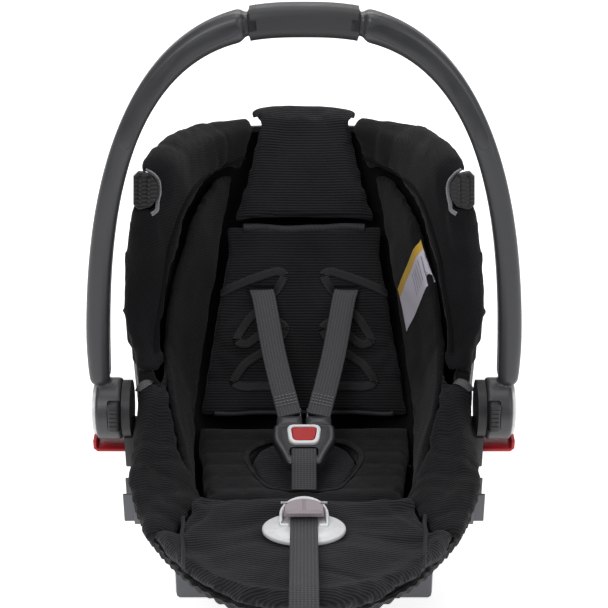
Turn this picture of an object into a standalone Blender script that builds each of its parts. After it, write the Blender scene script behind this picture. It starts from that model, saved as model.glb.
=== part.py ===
"""Infant car seat with a swinging carry handle, built as separate named pieces.

Frame: +X to the seat's left-hand side rail, -Y towards the feet, +Z up. The origin is on the
floor, under the middle of the seat. All lengths are in metres.
"""

import math

import bmesh
import bpy
from mathutils import Matrix, Vector
from mathutils.bvhtree import BVHTree

# ---------------------------------------------------------------- driving dimensions
GAP = 0.0004            # gap kept between pieces that touch
RUN = 0.0006            # running clearance of the moving pieces

# Rim of the padded bucket, from the middle of the head end (u = 0) round the right side to the
# middle of the foot end (u = 17): half width, place along the seat, height.
RIM = [
    (0.000, 0.312, 0.383), (0.066, 0.296, 0.389), (0.110, 0.250, 0.400), (0.138, 0.192, 0.412),
    (0.153, 0.140, 0.418), (0.161, 0.108, 0.414), (0.169, 0.091, 0.394), (0.177, 0.084, 0.355),
    (0.183, 0.078, 0.305), (0.185, 0.060, 0.262), (0.173, 0.042, 0.233), (0.169, 0.005, 0.206),
    (0.170, -0.045, 0.184), (0.168, -0.095, 0.174), (0.143, -0.160, 0.171),
    (0.105, -0.231, 0.179), (0.055, -0.287, 0.197), (0.000, -0.310, 0.208),
]
# Seam where the rim pads end inside the bucket, at the same stations.
SEAM = [
    (0.000, 0.240, 0.312), (0.069, 0.257, 0.337), (0.090, 0.217, 0.354), (0.103, 0.184, 0.350),
    (0.110, 0.161, 0.347), (0.1150, 0.143, 0.341), (0.1215, 0.132, 0.327), (0.1265, 0.121, 0.311),
    (0.134, 0.104, 0.296), (0.139, 0.088, 0.273), (0.143, 0.066, 0.238), (0.137, 0.020, 0.210),
    (0.124, -0.022, 0.178), (0.110, -0.058, 0.156), (0.094, -0.088, 0.138),
    (0.062, -0.074, 0.126), (0.032, -0.064, 0.122), (0.000, -0.060, 0.121),
]
# Lower edge of the side lining beside the back and seat pads, from station 1 on.
LINING_FOOT = [
    (0.077, 0.254, 0.331), (0.082, 0.238, 0.310), (0.087, 0.222, 0.288), (0.090, 0.210, 0.272),
    (0.093, 0.196, 0.252), (0.096, 0.182, 0.233), (0.101, 0.166, 0.211), (0.106, 0.148, 0.186),
    (0.111, 0.128, 0.158), (0.115, 0.100, 0.126), (0.115, 0.050, 0.113), (0.110, -0.010, 0.117),
    (0.103, -0.050, 0.126),
]
RIM_MIDDLE = 0.070      # where along the seat the bucket is widest
U_NOTCH, U_BAND, U_CORNER, U_FRONT = 1.0, 10.5, 14.0, 17.0
PAD_THICKNESS = 0.008   # stitched rim pads
BOLSTER_THICKNESS = 0.009
LINING_THICKNESS = 0.005
LINING_DROP = 0.012     # lining's top edge below the seam, behind the rim pads
PAD_JOINT = 0.17        # half of the opening between two rim pads, in stations

SHELL_WALL = 0.0035
SHELL_INSET = 0.007     # shell's outer face inside the cover's outline
SHELL_DROP = 0.015      # shell's rim below the cover's crest
SHELL_BOTTOM = Vector((0.0, 0.005, 0.024))
SHELL_POWER = {"head": 1.75, "side": 3.4, "foot": 1.30}
FOAM_GAP = 0.0022
FOAM_WALL = 0.0030      # at the rim
FOAM_LEAST = 0.0016     # nowhere thinner than this
FOAM_HEART = Vector((0.0, 0.02, 0.22))  # the place its thickness is measured out from
FOAM_FLOOR = 0.052      # height of the foam under the seat pad
FOAM_POWER = {"head": 1.95, "side": 4.2, "foot": 1.45}

BACK_LINE = [(0.102, 0.125), (0.128, 0.158), (0.148, 0.186), (0.166, 0.211), (0.182, 0.233),
             (0.196, 0.252), (0.2205, 0.2845)]
SEAT_LINE = [(0.086, 0.108), (0.050, 0.109), (0.010, 0.112), (-0.025, 0.116), (-0.054, 0.122)]
INSERT_THICKNESS = 0.013
INSERT_SIDE_GAP = 0.006  # between an insert pad and the lining beside it
CROTCH_HOLE = [(0.030, 0.066), (0.056, 0.040), (0.053, 0.014), (0.042, -0.014), (0.026, -0.034)]
SLOT_ROWS = [(0.178, 0.046), (0.150, 0.046), (0.124, 0.046)]   # place along the seat, half spacing
SLOT_SIZE = (0.034, 0.010)
SLOT_TILT = math.radians(36.5)     # the slots run square to the back pad

PIVOT = Vector((0.0, 0.0, 0.195))
HANDLE_LEAN = math.radians(10)
HANDLE_OUTER = (0.214, 0.402, 2.60)    # half width, reach from the pivot, superellipse power
HANDLE_INNER = (0.1915, 0.373, 2.75)
HANDLE_DEPTH = 0.034
HANDLE_TAPER = (0.090, 0.007)          # arms thin towards the hub: over this reach, by this much
HANDLE_ROUNDING = 0.0065
GRIP_ANGLE = math.radians(9.6)         # half of the grip's share of the arch
GRIP_WALL = 0.004
INLAY_SPAN = (math.radians(38), math.radians(79))
INLAY_WIDTH = 0.013
INLAY_THICKNESS = 0.0016
INLAY_STEPS = 8

HUB_RADIUS = 0.031
HUB_X = (0.1802, 0.2052)
HUB_CAP_RADIUS = 0.026
HUB_CAP_THICKNESS = 0.0032
EAR_X = (0.1712, 0.1796)
EAR_RADIUS = 0.0285
EAR_FOOT_X = (0.1642, 0.1790)
EAR_FOOT = (0.040, 0.036, -0.040)       # width, height and middle of the foot below the axle
AXLE_RADIUS = 0.006
AXLE_HEAD = (0.0095, 0.0035)
LOCK_PLATE = (0.0150, 0.0035)          # radius, thickness
BUTTON_SIZE = (0.0110, 0.0140, 0.0300)
BUTTON_RAISE = 0.0030
BUTTON_TRAVEL = 0.0025
BUTTON_LIFT = 0.003                    # its centre above the axle, in the handle's frame
SPRING_RADIUS = 0.0028
SPRING_WIRE = 0.00045

HOOK_WIDTH = 0.030
HOOK_THICKNESS = 0.0036
HOOK_X = (0.1735, 0.2110)
HOOK_TIP = 0.0095
HOOK_TOP = 0.1556       # clear of the turning hub and its button

RUNNER_X = 0.1135
RUNNER_WIDTH = 0.036
RUNNER_Y = (-0.058, 0.196)
RUNNER_FLAT = (-0.044, 0.085)
RUNNER_RADIUS = 0.420
RUNNER_RIB = 0.030
SCREW_RADIUS = 0.0022
SCREW_HEAD = (0.0048, 0.0030)
SCREW_PLACES = (-0.032, 0.070)

ADAPTER_PLACE = (0.1660, -0.0640, 0.1300)
ADAPTER_SIZE = (0.034, 0.036)
ADAPTER_BLADE = (0.0100, 0.0028)
GUIDE_STATION = 6.1                     # where along the rim the shoulder guide sits
GUIDE_SIZE = (0.0260, 0.0380, 0.0090)   # width, height, thickness
GUIDE_DROP = 0.0040                     # its face below the pad's crest
GUIDE_GAP = 0.0015
LABEL_PLACE = (7.4, 0.35)
LABEL_SIZE = (0.034, 0.056)

WEB_WIDTH = 0.0250
WEB_THICKNESS = 0.0014
BUCKLE_PLACE = Vector((0.0, 0.0085, 0.1425))
BUCKLE_TILT = math.radians(15)
BUCKLE_SHIELD = [(0.0305, 0.0235), (0.0300, 0.0060), (0.0215, -0.0120), (0.0165, -0.0270)]
BUCKLE_THICKNESS = 0.0170
BUCKLE_FRAME = (0.0335, 0.0240, 0.0046)
RED_BUTTON = (0.0262, 0.0165, 0.0075)
RED_TRAVEL = 0.0030
TONGUE = (0.0240, 0.0290, 0.0026)
TONGUE_IN = 0.0130        # how far a tongue reaches into the buckle
TONGUE_X = 0.0150
TONGUE_Z = -0.0020

ADJUSTER_PLACE = Vector((0.0, -0.1800, 0.1835))
ADJUSTER_TILT = math.radians(-10)
ADJUSTER_PLATE = (0.0380, 0.0290, 0.0050)   # half width, half length, thickness
ADJUSTER_DOME = (0.0225, 0.0340, 0.0165)    # half width, length, height
ADJUSTER_ENTRY = -0.1560                    # where the strap comes up through the bolster
DOME_SHIFT = 0.0150
LEVER_HINGE = 0.0080
LEVER_THICKNESS = 0.0046
PIN_RADIUS = 0.0012
PIN_HALF = 0.0212
YOKE_PLACE = Vector((0.0, 0.1840, 0.0860))
YOKE_SIZE = (0.080, 0.030)
CROTCH_Y = -0.0300

COLOURS = {
    "shell": (0.030, 0.031, 0.034), "foam": (0.80, 0.80, 0.78), "grey": (0.105, 0.108, 0.115),
    "steel": (0.60, 0.61, 0.62), "black": (0.012, 0.012, 0.013), "red": (0.55, 0.010, 0.012),
    "cloth": (0.014, 0.013, 0.014), "knit": (0.024, 0.022, 0.022), "web": (0.055, 0.055, 0.058),
    "white": (0.62, 0.63, 0.65), "mauve": (0.32, 0.27, 0.30), "label": (0.66, 0.63, 0.70),
    "grip": (0.080, 0.082, 0.088),
}
ROUGHNESS = {"steel": 0.30, "red": 0.35, "white": 0.30, "grey": 0.45, "shell": 0.5}


# ---------------------------------------------------------------- helpers
def new_collection(name):
    found = bpy.data.collections.new(name)
    bpy.context.scene.collection.children.link(found)
    return found


for old in list(bpy.data.objects):
    bpy.data.objects.remove(old, do_unlink=True)
SEAT = new_collection("infant_car_seat")
CUTTERS = new_collection("cutters")


def finish_for(name, colour):
    """A plain Principled material of one piece's own."""
    material = bpy.data.materials.new(name)
    material.use_nodes = True
    shader = material.node_tree.nodes["Principled BSDF"]
    shader.inputs["Base Color"].default_value = (*COLOURS[colour], 1)
    shader.inputs["Roughness"].default_value = ROUGHNESS.get(colour, 0.8)
    shader.inputs["Metallic"].default_value = 1.0 if colour == "steel" else 0.0
    return material


def add(name, bm, colour=None, parent=None, at=None):
    """Makes a bmesh into a named piece, or into a cutter where no colour is given."""
    bmesh.ops.recalc_face_normals(bm, faces=bm.faces)
    mesh = bpy.data.meshes.new(name)
    bm.to_mesh(mesh)
    bm.free()
    obj = bpy.data.objects.new(name, mesh)
    if colour:
        SEAT.objects.link(obj)
        mesh.materials.append(finish_for(name, colour))
        mesh.shade_smooth()
        mesh.set_sharp_from_angle(angle=math.radians(35))
    else:
        CUTTERS.objects.link(obj)
        obj.hide_render = True
        obj.display_type = "WIRE"
    if at is not None:
        obj.matrix_local = at
    obj.parent = parent
    return obj


def empty(name, at, parent=None):
    obj = bpy.data.objects.new(name, None)
    SEAT.objects.link(obj)
    obj.matrix_local = at
    obj.parent = parent
    return obj


def cut(obj, *cutters, operation="DIFFERENCE"):
    for cutter in cutters:
        boolean = obj.modifiers.new(cutter.name, "BOOLEAN")
        boolean.operation = operation
        boolean.object = cutter
    return obj


def box(size, centre=(0, 0, 0), rounding=0.0, segments=2):
    bm = bmesh.new()
    bmesh.ops.create_cube(bm, size=1, matrix=Matrix.Translation(centre) @ Matrix.Diagonal((*size, 1)))
    if rounding:
        bmesh.ops.bevel(bm, geom=bm.edges[:], offset=rounding, segments=segments, profile=0.5,
                        affect="EDGES", material=-1)
    return bm


def cylinder(radius, low, high, sides=32, rounding=0.0, top_radius=None):
    """A cylinder along +X from low to high, with its end edges rounded."""
    bm = bmesh.new()
    turn = Matrix.Translation(((low + high) / 2, 0, 0)) @ Matrix.Rotation(math.pi / 2, 4, "Y")
    bmesh.ops.create_cone(bm, cap_ends=True, segments=sides, radius1=radius,
                          radius2=radius if top_radius is None else top_radius,
                          depth=high - low, matrix=turn)
    if rounding:
        rims = [e for e in bm.edges if any(len(f.verts) > 4 for f in e.link_faces)]
        bmesh.ops.bevel(bm, geom=rims, offset=rounding, segments=2, profile=0.5,
                        affect="EDGES", material=-1)
    return bm


def extruded(outline, thickness, rounding=0.0, segments=2):
    """A flat outline of (x, y) points, extruded to half its thickness each side of z = 0."""
    bm = bmesh.new()
    low = [bm.verts.new((x, y, -thickness / 2)) for x, y in outline]
    face = bm.faces.new(low)
    grown = bmesh.ops.extrude_face_region(bm, geom=[face])["geom"]
    risen = [v for v in grown if isinstance(v, bmesh.types.BMVert)]
    bmesh.ops.translate(bm, verts=risen, vec=(0, 0, thickness))
    if rounding:
        ends = [e for e in bm.edges if abs(e.verts[0].co.z - e.verts[1].co.z) < 1e-7]
        bmesh.ops.bevel(bm, geom=ends, offset=rounding, segments=segments, profile=0.5,
                        affect="EDGES", material=-1, clamp_overlap=True)
    return bm


def rounded(corners, radius, steps=4):
    """An outline with each of its corners rounded."""
    points = []
    for i, corner in enumerate(corners):
        here = Vector(corner)
        before = Vector(corners[i - 1]) - here
        after = Vector(corners[(i + 1) % len(corners)]) - here
        reach = min(radius, before.length * 0.45, after.length * 0.45)
        start, end = here + before.normalized() * reach, here + after.normalized() * reach
        for k in range(steps + 1):
            t = k / steps
            points.append(start * (1 - t) ** 2 + here * 2 * t * (1 - t) + end * t ** 2)
    return [tuple(p) for p in points]


def mirrored_outline(half):
    """Closes a half outline, given from the top down at +x, with its mirror image."""
    return [(x, y) for x, y in half] + [(-x, y) for x, y in reversed(half) if x > 1e-6]


def skin(bm, rings, close=True):
    """Joins a list of rings of points with faces and returns their vertices."""
    rows = [[bm.verts.new(p) for p in ring] for ring in rings]
    for a, b in zip(rows, rows[1:]):
        count = len(a)
        for i in range(count if close else count - 1):
            bm.faces.new((a[i], a[(i + 1) % count], b[(i + 1) % count], b[i]))
    return rows


def loft(rings):
    """A closed solid through a list of closed sections."""
    bm = bmesh.new()
    rows = skin(bm, rings)
    bm.faces.new(rows[0])
    bm.faces.new(rows[-1])
    return bm


def ribbon(path, across, width, thickness):
    """A flat strap along a path; across gives the direction of its width at each point."""
    rings = []
    for i, point in enumerate(path):
        before, after = path[max(i - 1, 0)], path[min(i + 1, len(path) - 1)]
        along = (after - before).normalized()
        side = (across - along * across.dot(along)).normalized() * width / 2
        up = side.cross(along).normalized() * thickness / 2
        rings.append([point + side + up, point - side + up, point - side - up, point + side - up])
    return loft(rings)


def sheet(rows, thickness, name, colour):
    """An open grid of points given a thickness on its hidden side."""
    bm = bmesh.new()
    skin(bm, rows, close=False)
    bmesh.ops.recalc_face_normals(bm, faces=bm.faces)
    middle = sum((f.calc_center_median() for f in bm.faces), Vector()) / len(bm.faces)
    facing = sum((f.normal.dot(CAVITY - middle) for f in bm.faces))
    if facing < 0:
        bmesh.ops.reverse_faces(bm, faces=bm.faces)
    mesh = bpy.data.meshes.new(name)
    bm.to_mesh(mesh)
    bm.free()
    obj = bpy.data.objects.new(name, mesh)
    SEAT.objects.link(obj)
    mesh.materials.append(finish_for(name, colour))
    mesh.shade_smooth()
    solid = obj.modifiers.new("thickness", "SOLIDIFY")
    solid.thickness = thickness
    solid.offset = -1
    return obj


CAVITY = Vector((0.0, -0.020, 0.300))   # a point in the open bucket, which the pads face


# ---------------------------------------------------------------- rim curves
def along(points, u, mirrored=True):
    """A smooth curve through the stations; past the middle planes it is mirrored in x."""
    last = len(points) - 1

    def station(i):
        if not mirrored:
            return Vector(points[min(max(i, 0), last)])
        if i < 0:
            return Vector((-points[-i][0], *points[-i][1:]))
        if i > last:
            mirror = points[2 * last - i]
            return Vector((-mirror[0], *mirror[1:]))
        return Vector(points[i])

    i = min(math.floor(u), last + 3)
    t = u - i
    p0, p1, p2, p3 = (station(i + k) for k in (-1, 0, 1, 2))
    return 0.5 * (2 * p1 + (p2 - p0) * t + (2 * p0 - 5 * p1 + 4 * p2 - p3) * t ** 2
                  + (3 * p1 - p0 - 3 * p2 + p3) * t ** 3)


def rim(u):
    return along(RIM, u)


def seam(u):
    return along(SEAM, u)


def lining_foot(u):
    return along(LINING_FOOT, u - 1, mirrored=False)


def inward(u):
    """Unit vector in plan from the rim towards the inside, square to an oval through its ends."""
    point = rim(u)
    ahead = point.y - RIM_MIDDLE
    length = RIM[0][1] - RIM_MIDDLE if ahead > 0 else RIM_MIDDLE - RIM[-1][1]
    half = max(x for x, _, _ in RIM)
    return -Vector((point.x / half ** 2, ahead / length ** 2, 0)).normalized()


def at_rim(u, inset, drop):
    """A point beside the rim: inset towards the inside, and drop square to the rim, downwards."""
    tangent = (rim(u + 0.05) - rim(u - 0.05)).normalized()
    inside = inward(u)
    down = inside.cross(tangent)
    if down.z > 0:
        down = -down
    return rim(u) + inside * inset + down * drop


def side_of(point, side):
    return Vector((point.x * side, point.y, point.z))


def stations(low, high, step=0.5):
    count = max(1, round((high - low) / step))
    return [low + (high - low) * i / count for i in range(count + 1)]


def bowl_point(u, f, inset, bottom, power):
    """A point of a bucket surface: f runs from 0 at the bottom to 1 at the rim."""
    top = at_rim(u, inset, SHELL_DROP)
    run = top - bottom
    heading = math.atan2(abs(run.x), run.y)
    ends = power["head"] if heading < math.pi / 2 else power["foot"]
    mix = math.sin(heading) ** (1 if heading < math.pi / 2 else 4)
    n = ends * (1 - mix) + power["side"] * mix
    angle = f * math.pi / 2
    out = math.sin(angle) ** (2 / n)
    rise = 1 - math.cos(angle) ** (2 / n)
    return Vector((bottom.x + run.x * out, bottom.y + run.y * out, bottom.z + run.z * rise))


BOWL_RINGS = 6


def bowl_rings(inset, bottom, power, rings=BOWL_RINGS):
    """Rings of points from just above the bottom up to the rim, all the way round."""
    right = stations(0, U_FRONT)
    found = []
    for k in range(1, rings + 1):
        half = [bowl_point(u, k / rings, inset, bottom, power) for u in right]
        found.append(half + [side_of(p, -1) for p in reversed(half[1:-1])])
    return found


def cap_pole(bm, ring, point):
    pole = bm.verts.new(point)
    for a, b in zip(ring, ring[1:] + ring[:1]):
        bm.faces.new((a, b, pole))


# ---------------------------------------------------------------- shell, foam and runners
def slot_cutters():
    """Upright slots through back pad, foam and shell for the shoulder straps."""
    found = []
    for row, (y, x) in enumerate(SLOT_ROWS):
        z = height_on(BACK_LINE, y)
        for side in (1, -1):
            turn = Matrix.Translation((x * side, y, z)) @ Matrix.Rotation(-SLOT_TILT, 4, "X")
            found.append(add(f"slot_cutter_{row}_{side}", box((SLOT_SIZE[0], 0.30, SLOT_SIZE[1])),
                             at=turn))
    return found


def height_on(line, y):
    """Height of a side-view line at a place along the seat."""
    ordered = sorted(line)
    for (y0, z0), (y1, z1) in zip(ordered, ordered[1:]):
        if y0 <= y <= y1:
            return z0 + (z1 - z0) * (y - y0) / (y1 - y0)
    return ordered[-1][1]


def bucket(outer, inner):
    """A closed bucket between an outer and an inner surface, each (inset, bottom, power)."""
    bm = bmesh.new()
    rows = skin(bm, bowl_rings(*outer) + bowl_rings(*inner)[::-1])
    cap_pole(bm, rows[0], outer[1])
    cap_pole(bm, rows[-1], inner[1])
    return bm


def raised(height):
    return SHELL_BOTTOM + Vector((0, 0, height))


def make_shell():
    outer = (SHELL_INSET, SHELL_BOTTOM, SHELL_POWER)
    inner = (SHELL_INSET + SHELL_WALL, raised(SHELL_WALL), SHELL_POWER)
    return add("seat_shell", bucket(outer, inner), "shell")


def make_foam():
    """The foam lines the shell and is at least FOAM_LEAST thick, measured out from its middle."""
    wall = SHELL_WALL + FOAM_GAP
    outer = bowl_rings(SHELL_INSET + wall, raised(wall), SHELL_POWER)
    floor = Vector((SHELL_BOTTOM.x, SHELL_BOTTOM.y, FOAM_FLOOR))
    inner = bowl_rings(SHELL_INSET + wall + FOAM_WALL, floor, FOAM_POWER)
    skin_only = bmesh.new()
    cap_pole(skin_only, skin(skin_only, outer)[0], raised(wall))
    tree = BVHTree.FromBMesh(skin_only)
    skin_only.free()
    kept = []
    for ring in inner:
        kept.append([])
        for point in ring:
            heading = (point - FOAM_HEART).normalized()
            reach = tree.ray_cast(FOAM_HEART, heading)[3]
            most = (point - FOAM_HEART).length
            if reach is not None:
                most = min(most, reach - FOAM_LEAST)
            kept[-1].append(FOAM_HEART + heading * most)
    bm = bmesh.new()
    rows = skin(bm, outer + kept[::-1])
    cap_pole(bm, rows[0], raised(wall))
    cap_pole(bm, rows[-1], floor)
    return add("foam_liner", bm, "foam")


def shell_envelope():
    """The shell's outer form, grown by a gap, which pieces under the seat are cut to."""
    bottom = SHELL_BOTTOM - Vector((0, 0, 4 * GAP))
    rings = bowl_rings(SHELL_INSET - 3 * GAP, bottom, SHELL_POWER)
    lifted = [Vector((p.x, p.y, 0.5)) for p in rings[-1]]
    bm = bmesh.new()
    rows = skin(bm, rings + [lifted])
    cap_pole(bm, rows[0], bottom)
    bm.faces.new(rows[-1])
    return add("shell_envelope", bm)


def runner_height(y):
    """Underside of a runner: flat in the middle, then curving up at both ends."""
    over = max(RUNNER_FLAT[0] - y, y - RUNNER_FLAT[1], 0)
    return RUNNER_RADIUS - math.sqrt(RUNNER_RADIUS ** 2 - over ** 2)


def make_runner(name, side, envelope, bores):
    """A rocker runner: an upright rib that follows the shell and a rounded foot."""
    y0, y1 = RUNNER_Y
    span = y1 - y0
    low = [(y0 + span * i / 14, runner_height(y0 + span * i / 14)) for i in range(15)]
    top = [(y1 + 0.004, low[-1][1] + 0.012), (y1 - 0.004, low[-1][1] + RUNNER_RIB), (0.165, 0.075),
           (0.120, 0.135), (y0 + 0.004, 0.090)]
    turn = Matrix(((0, 0, 1, RUNNER_X * side), (1, 0, 0, 0), (0, 1, 0, 0), (0, 0, 0, 1)))
    runner = add(name, extruded(low + top, RUNNER_WIDTH, 0.004), "grey", at=turn)
    return cut(runner, envelope, *bores)


def make_screw(name, x, y):
    """A self-tapping screw, from its head in the runner's foot up into the foam's pocket."""
    base = runner_height(y) + 0.006
    top = envelope_height(x, y) + 0.012
    head = cylinder(SCREW_HEAD[0], 0, SCREW_HEAD[1], 16)
    shank = cylinder(SCREW_RADIUS, SCREW_HEAD[1] / 2, top - base, 12)
    turn = Matrix.Translation((x, y, base)) @ Matrix.Rotation(-math.pi / 2, 4, "Y")
    body = add(name, head, "steel", at=turn)
    shank_part = add(name + "_shank", shank, at=turn)
    cut(body, shank_part, operation="UNION")
    bore = add(name + "_bore", cylinder(SCREW_RADIUS + GAP, -0.02, top - base + 0.002, 12), at=turn)
    sink = add(name + "_sink", cylinder(SCREW_HEAD[0] + GAP, -0.02, SCREW_HEAD[1] + GAP, 16), at=turn)
    return bore, sink


def envelope_height(x, y):
    """Height of the shell's underside at a place in plan, near the bottom."""
    best = min((bowl_point(u, f / 40, SHELL_INSET, SHELL_BOTTOM, SHELL_POWER)
                for u in stations(0, U_FRONT, 0.25) for f in range(1, 41)),
               key=lambda p: (p.x - x) ** 2 + (p.y - y) ** 2)
    return best.z


# ---------------------------------------------------------------- cover
RIM_PROFILE = [(0.0005, 0.012), (0.003, 0.003), (0.013, 0.0), (0.027, 0.008)]
BULGE_AT = (0.36, 0.70)


def pad_row(u, inner, bulge):
    """Points of a rim pad's face at one station: over the rim, then down to its inner seam."""
    row = [at_rim(u, inset, drop) for inset, drop in RIM_PROFILE]
    for t, rise in zip(BULGE_AT, bulge):
        row.append(row[3].lerp(inner, t) + Vector((0, 0, rise)))
    return row + [inner]


def rim_pad(name, low, high, side=1, inner=seam, bulge=(0.006, 0.005), thickness=PAD_THICKNESS,
            colour="cloth"):
    rows = [[side_of(p, side) for p in pad_row(u, inner(u), bulge)] for u in stations(low, high)]
    return sheet(rows, thickness, name, colour)


def head_seam(u):
    """The head panel's lower edge, across the back."""
    return Vector((0.083 * u / U_NOTCH, 0.2235, 0.2890))


def make_lining(name, side):
    """The dark side wall between the rim pad's seam and the back and seat pads."""
    rows = []
    for u in stations(1.3, 13.0):
        top, foot = seam(u), lining_foot(u)
        top = top + (foot - top).normalized() * LINING_DROP
        rows.append([side_of(top.lerp(foot, t), side) for t in (0, 0.33, 0.67, 1)])
    return sheet(rows, LINING_THICKNESS, name, "cloth")


def pad_rows(line, columns=6):
    """Rows of points across the seat, as wide as the linings allow, along a side-view line."""
    foot = [lining_foot(u) for u in stations(1, 13, 0.25)]
    rows = []
    for y, z in line:
        wall = min(foot, key=lambda p: (p.y - y) ** 2 + (p.z - z) ** 2)
        half = wall.x - INSERT_SIDE_GAP
        rows.append([Vector((half * (2 * i / columns - 1), y, z)) for i in range(columns + 1)])
    return rows


def crotch_outline(inset):
    half = [(x - inset, y) for x, y in CROTCH_HOLE]
    half = [(0, half[0][1] + 0.006 - inset)] + half + [(0, half[-1][1] - 0.004 + inset)]
    return rounded(mirrored_outline(half), 0.012, 1)


def make_crotch_pad():
    z = height_on(SEAT_LINE, 0.016) - INSERT_THICKNESS / 2 - 0.002
    pad = extruded(crotch_outline(0.0015), INSERT_THICKNESS - 0.002, 0.003)
    return add("crotch_pad", pad, "cloth", at=Matrix.Translation((0, 0, z)))


def make_cover(slots):
    for name, side in SIDES:
        rim_pad(f"{name}_wing_pad", U_NOTCH + PAD_JOINT, U_BAND - PAD_JOINT, side)
        rim_pad(f"{name}_arm_pad", U_BAND + PAD_JOINT, U_CORNER - PAD_JOINT / 2, side)
        make_lining(f"{name}_side_lining", side)
    corner = U_CORNER + PAD_JOINT / 2
    rim_pad("front_bolster", corner, 2 * U_FRONT - corner, bulge=(0.012, 0.026),
            thickness=BOLSTER_THICKNESS)
    notch = U_NOTCH - PAD_JOINT
    rim_pad("head_panel", -notch, notch, inner=head_seam, bulge=(0, 0), colour="knit")
    back = sheet(pad_rows(BACK_LINE), INSERT_THICKNESS, "back_pad", "cloth")
    cut(back, *slots)
    seat = sheet(pad_rows(SEAT_LINE), INSERT_THICKNESS, "seat_pad", "cloth")
    hole = add("crotch_hole", extruded(crotch_outline(0), 0.1), at=Matrix.Translation((0, 0, 0.11)))
    cut(seat, hole)
    make_crotch_pad()


# ---------------------------------------------------------------- handle and hubs
def arch(outer, inset, from_angle, to_angle, steps):
    """Points of a superellipse arch in the handle's plane, x across and y up from the pivot."""
    half, reach, power = outer
    points = []
    for i in range(steps + 1):
        angle = from_angle + (to_angle - from_angle) * i / steps
        cos, sin = math.cos(angle), math.sin(angle)
        x = (half - inset) * math.copysign(abs(cos) ** (2 / power), cos)
        y = (reach - inset) * sin ** (2 / power)
        slim = HANDLE_TAPER[1] * max(0.0, 1 - y / HANDLE_TAPER[0]) ** 2
        points.append((x - math.copysign(slim if outer is HANDLE_OUTER else 0, cos), y))
    return points


def arch_slab(low, high, inset, depth, rounding, steps):
    """The piece of the handle's arch between two angles, drawn in by inset on every side."""
    over = arch(HANDLE_OUTER, inset, low, high, steps)
    under = arch(HANDLE_INNER, -inset, low, high, steps)
    bm = extruded(over + under[::-1], depth - 2 * inset)
    corners = [e for e in bm.edges if abs(e.verts[0].co.z - e.verts[1].co.z) < 1e-7
               and e.calc_face_angle(0) > math.radians(60)]
    bmesh.ops.bevel(bm, geom=corners, offset=rounding, segments=2, profile=0.5,
                    affect="EDGES", material=-1, clamp_overlap=True)
    return bm


UPRIGHT = Matrix.Rotation(math.pi / 2, 4, "X")     # turns a flat outline into the handle's plane


def hub_cylinder(name, side, radius, low, high, sides=32, rounding=0.0, colour=None, parent=None):
    bm = cylinder(radius, low, high, sides, rounding)
    bmesh.ops.scale(bm, vec=(side, 1, 1), verts=bm.verts)
    return add(name, bm, colour, parent)


def make_handle(pivot):
    right_angle = math.pi / 2
    arm_foot = math.radians(1.75)
    grip_low = right_angle - GRIP_ANGLE
    overlap = math.radians(3)
    arms = []
    for low, high in ((arm_foot, grip_low), (math.pi - grip_low, math.pi - arm_foot)):
        slab = arch_slab(low, high, 0, HANDLE_DEPTH, HANDLE_ROUNDING, 11)
        arms.append(slab)
    handle = add("handle_arch", arms[0], "grey", pivot, UPRIGHT)
    other = add("handle_other_arm", arms[1], None, pivot, UPRIGHT)
    core = arch_slab(grip_low - overlap, math.pi - grip_low + overlap, GRIP_WALL,
                     HANDLE_DEPTH, HANDLE_ROUNDING / 2, 6)
    core = add("handle_core", core, None, pivot, UPRIGHT)
    cut(handle, core, other, operation="UNION")
    for name, side in SIDES:
        hub = hub_cylinder(f"{name}_hub_barrel", side, HUB_RADIUS, *HUB_X, 32, 0, None, pivot)
        cut(handle, hub, operation="UNION")
    for name, side in SIDES:
        cut(handle, *hub_cutters(name, side, pivot))
    grip = add("handle_grip", arch_slab(grip_low + 0.0016, math.pi - grip_low - 0.0016, 0,
                                        HANDLE_DEPTH, HANDLE_ROUNDING, 6), "grip", pivot, UPRIGHT)
    tunnel = arch_slab(grip_low - overlap, math.pi - grip_low + overlap, GRIP_WALL - GAP,
                       HANDLE_DEPTH, HANDLE_ROUNDING / 2, 6)
    cut(grip, add("grip_tunnel", tunnel, None, pivot, UPRIGHT))
    for name, side in SIDES:
        make_inlay(f"{name}_handle_inlay", side, pivot)
        make_hub(name, side, pivot)


def make_inlay(name, side, pivot):
    """A long raised panel down the front of one arm, along the middle of the moulding."""
    low, high = INLAY_SPAN
    middle = [(Vector(a) + Vector(b)) / 2 for a, b in
              zip(arch(HANDLE_OUTER, 0, low, high, INLAY_STEPS),
                  arch(HANDLE_INNER, 0, low, high, INLAY_STEPS))]
    over, under = [], []
    for i, point in enumerate(middle):
        run = (middle[min(i + 1, INLAY_STEPS)] - middle[max(i - 1, 0)]).normalized()
        out = Vector((run.y, -run.x)) * INLAY_WIDTH / 2
        over.append(tuple(point + out))
        under.append(tuple(point - out))
    bm = extruded(over + under[::-1], INLAY_THICKNESS)
    bmesh.ops.scale(bm, vec=(side, 1, 1), verts=bm.verts)
    lift = HANDLE_DEPTH / 2 + GAP + INLAY_THICKNESS / 2
    add(name, bm, "grip", pivot, UPRIGHT @ Matrix.Translation((0, 0, lift)))


def button_centre(side):
    x = HUB_X[0] + 0.0012 + BUTTON_SIZE[0] / 2
    y = -(HUB_RADIUS + BUTTON_RAISE) + BUTTON_SIZE[1] / 2
    return Vector((x * side, y, BUTTON_LIFT))


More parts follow.
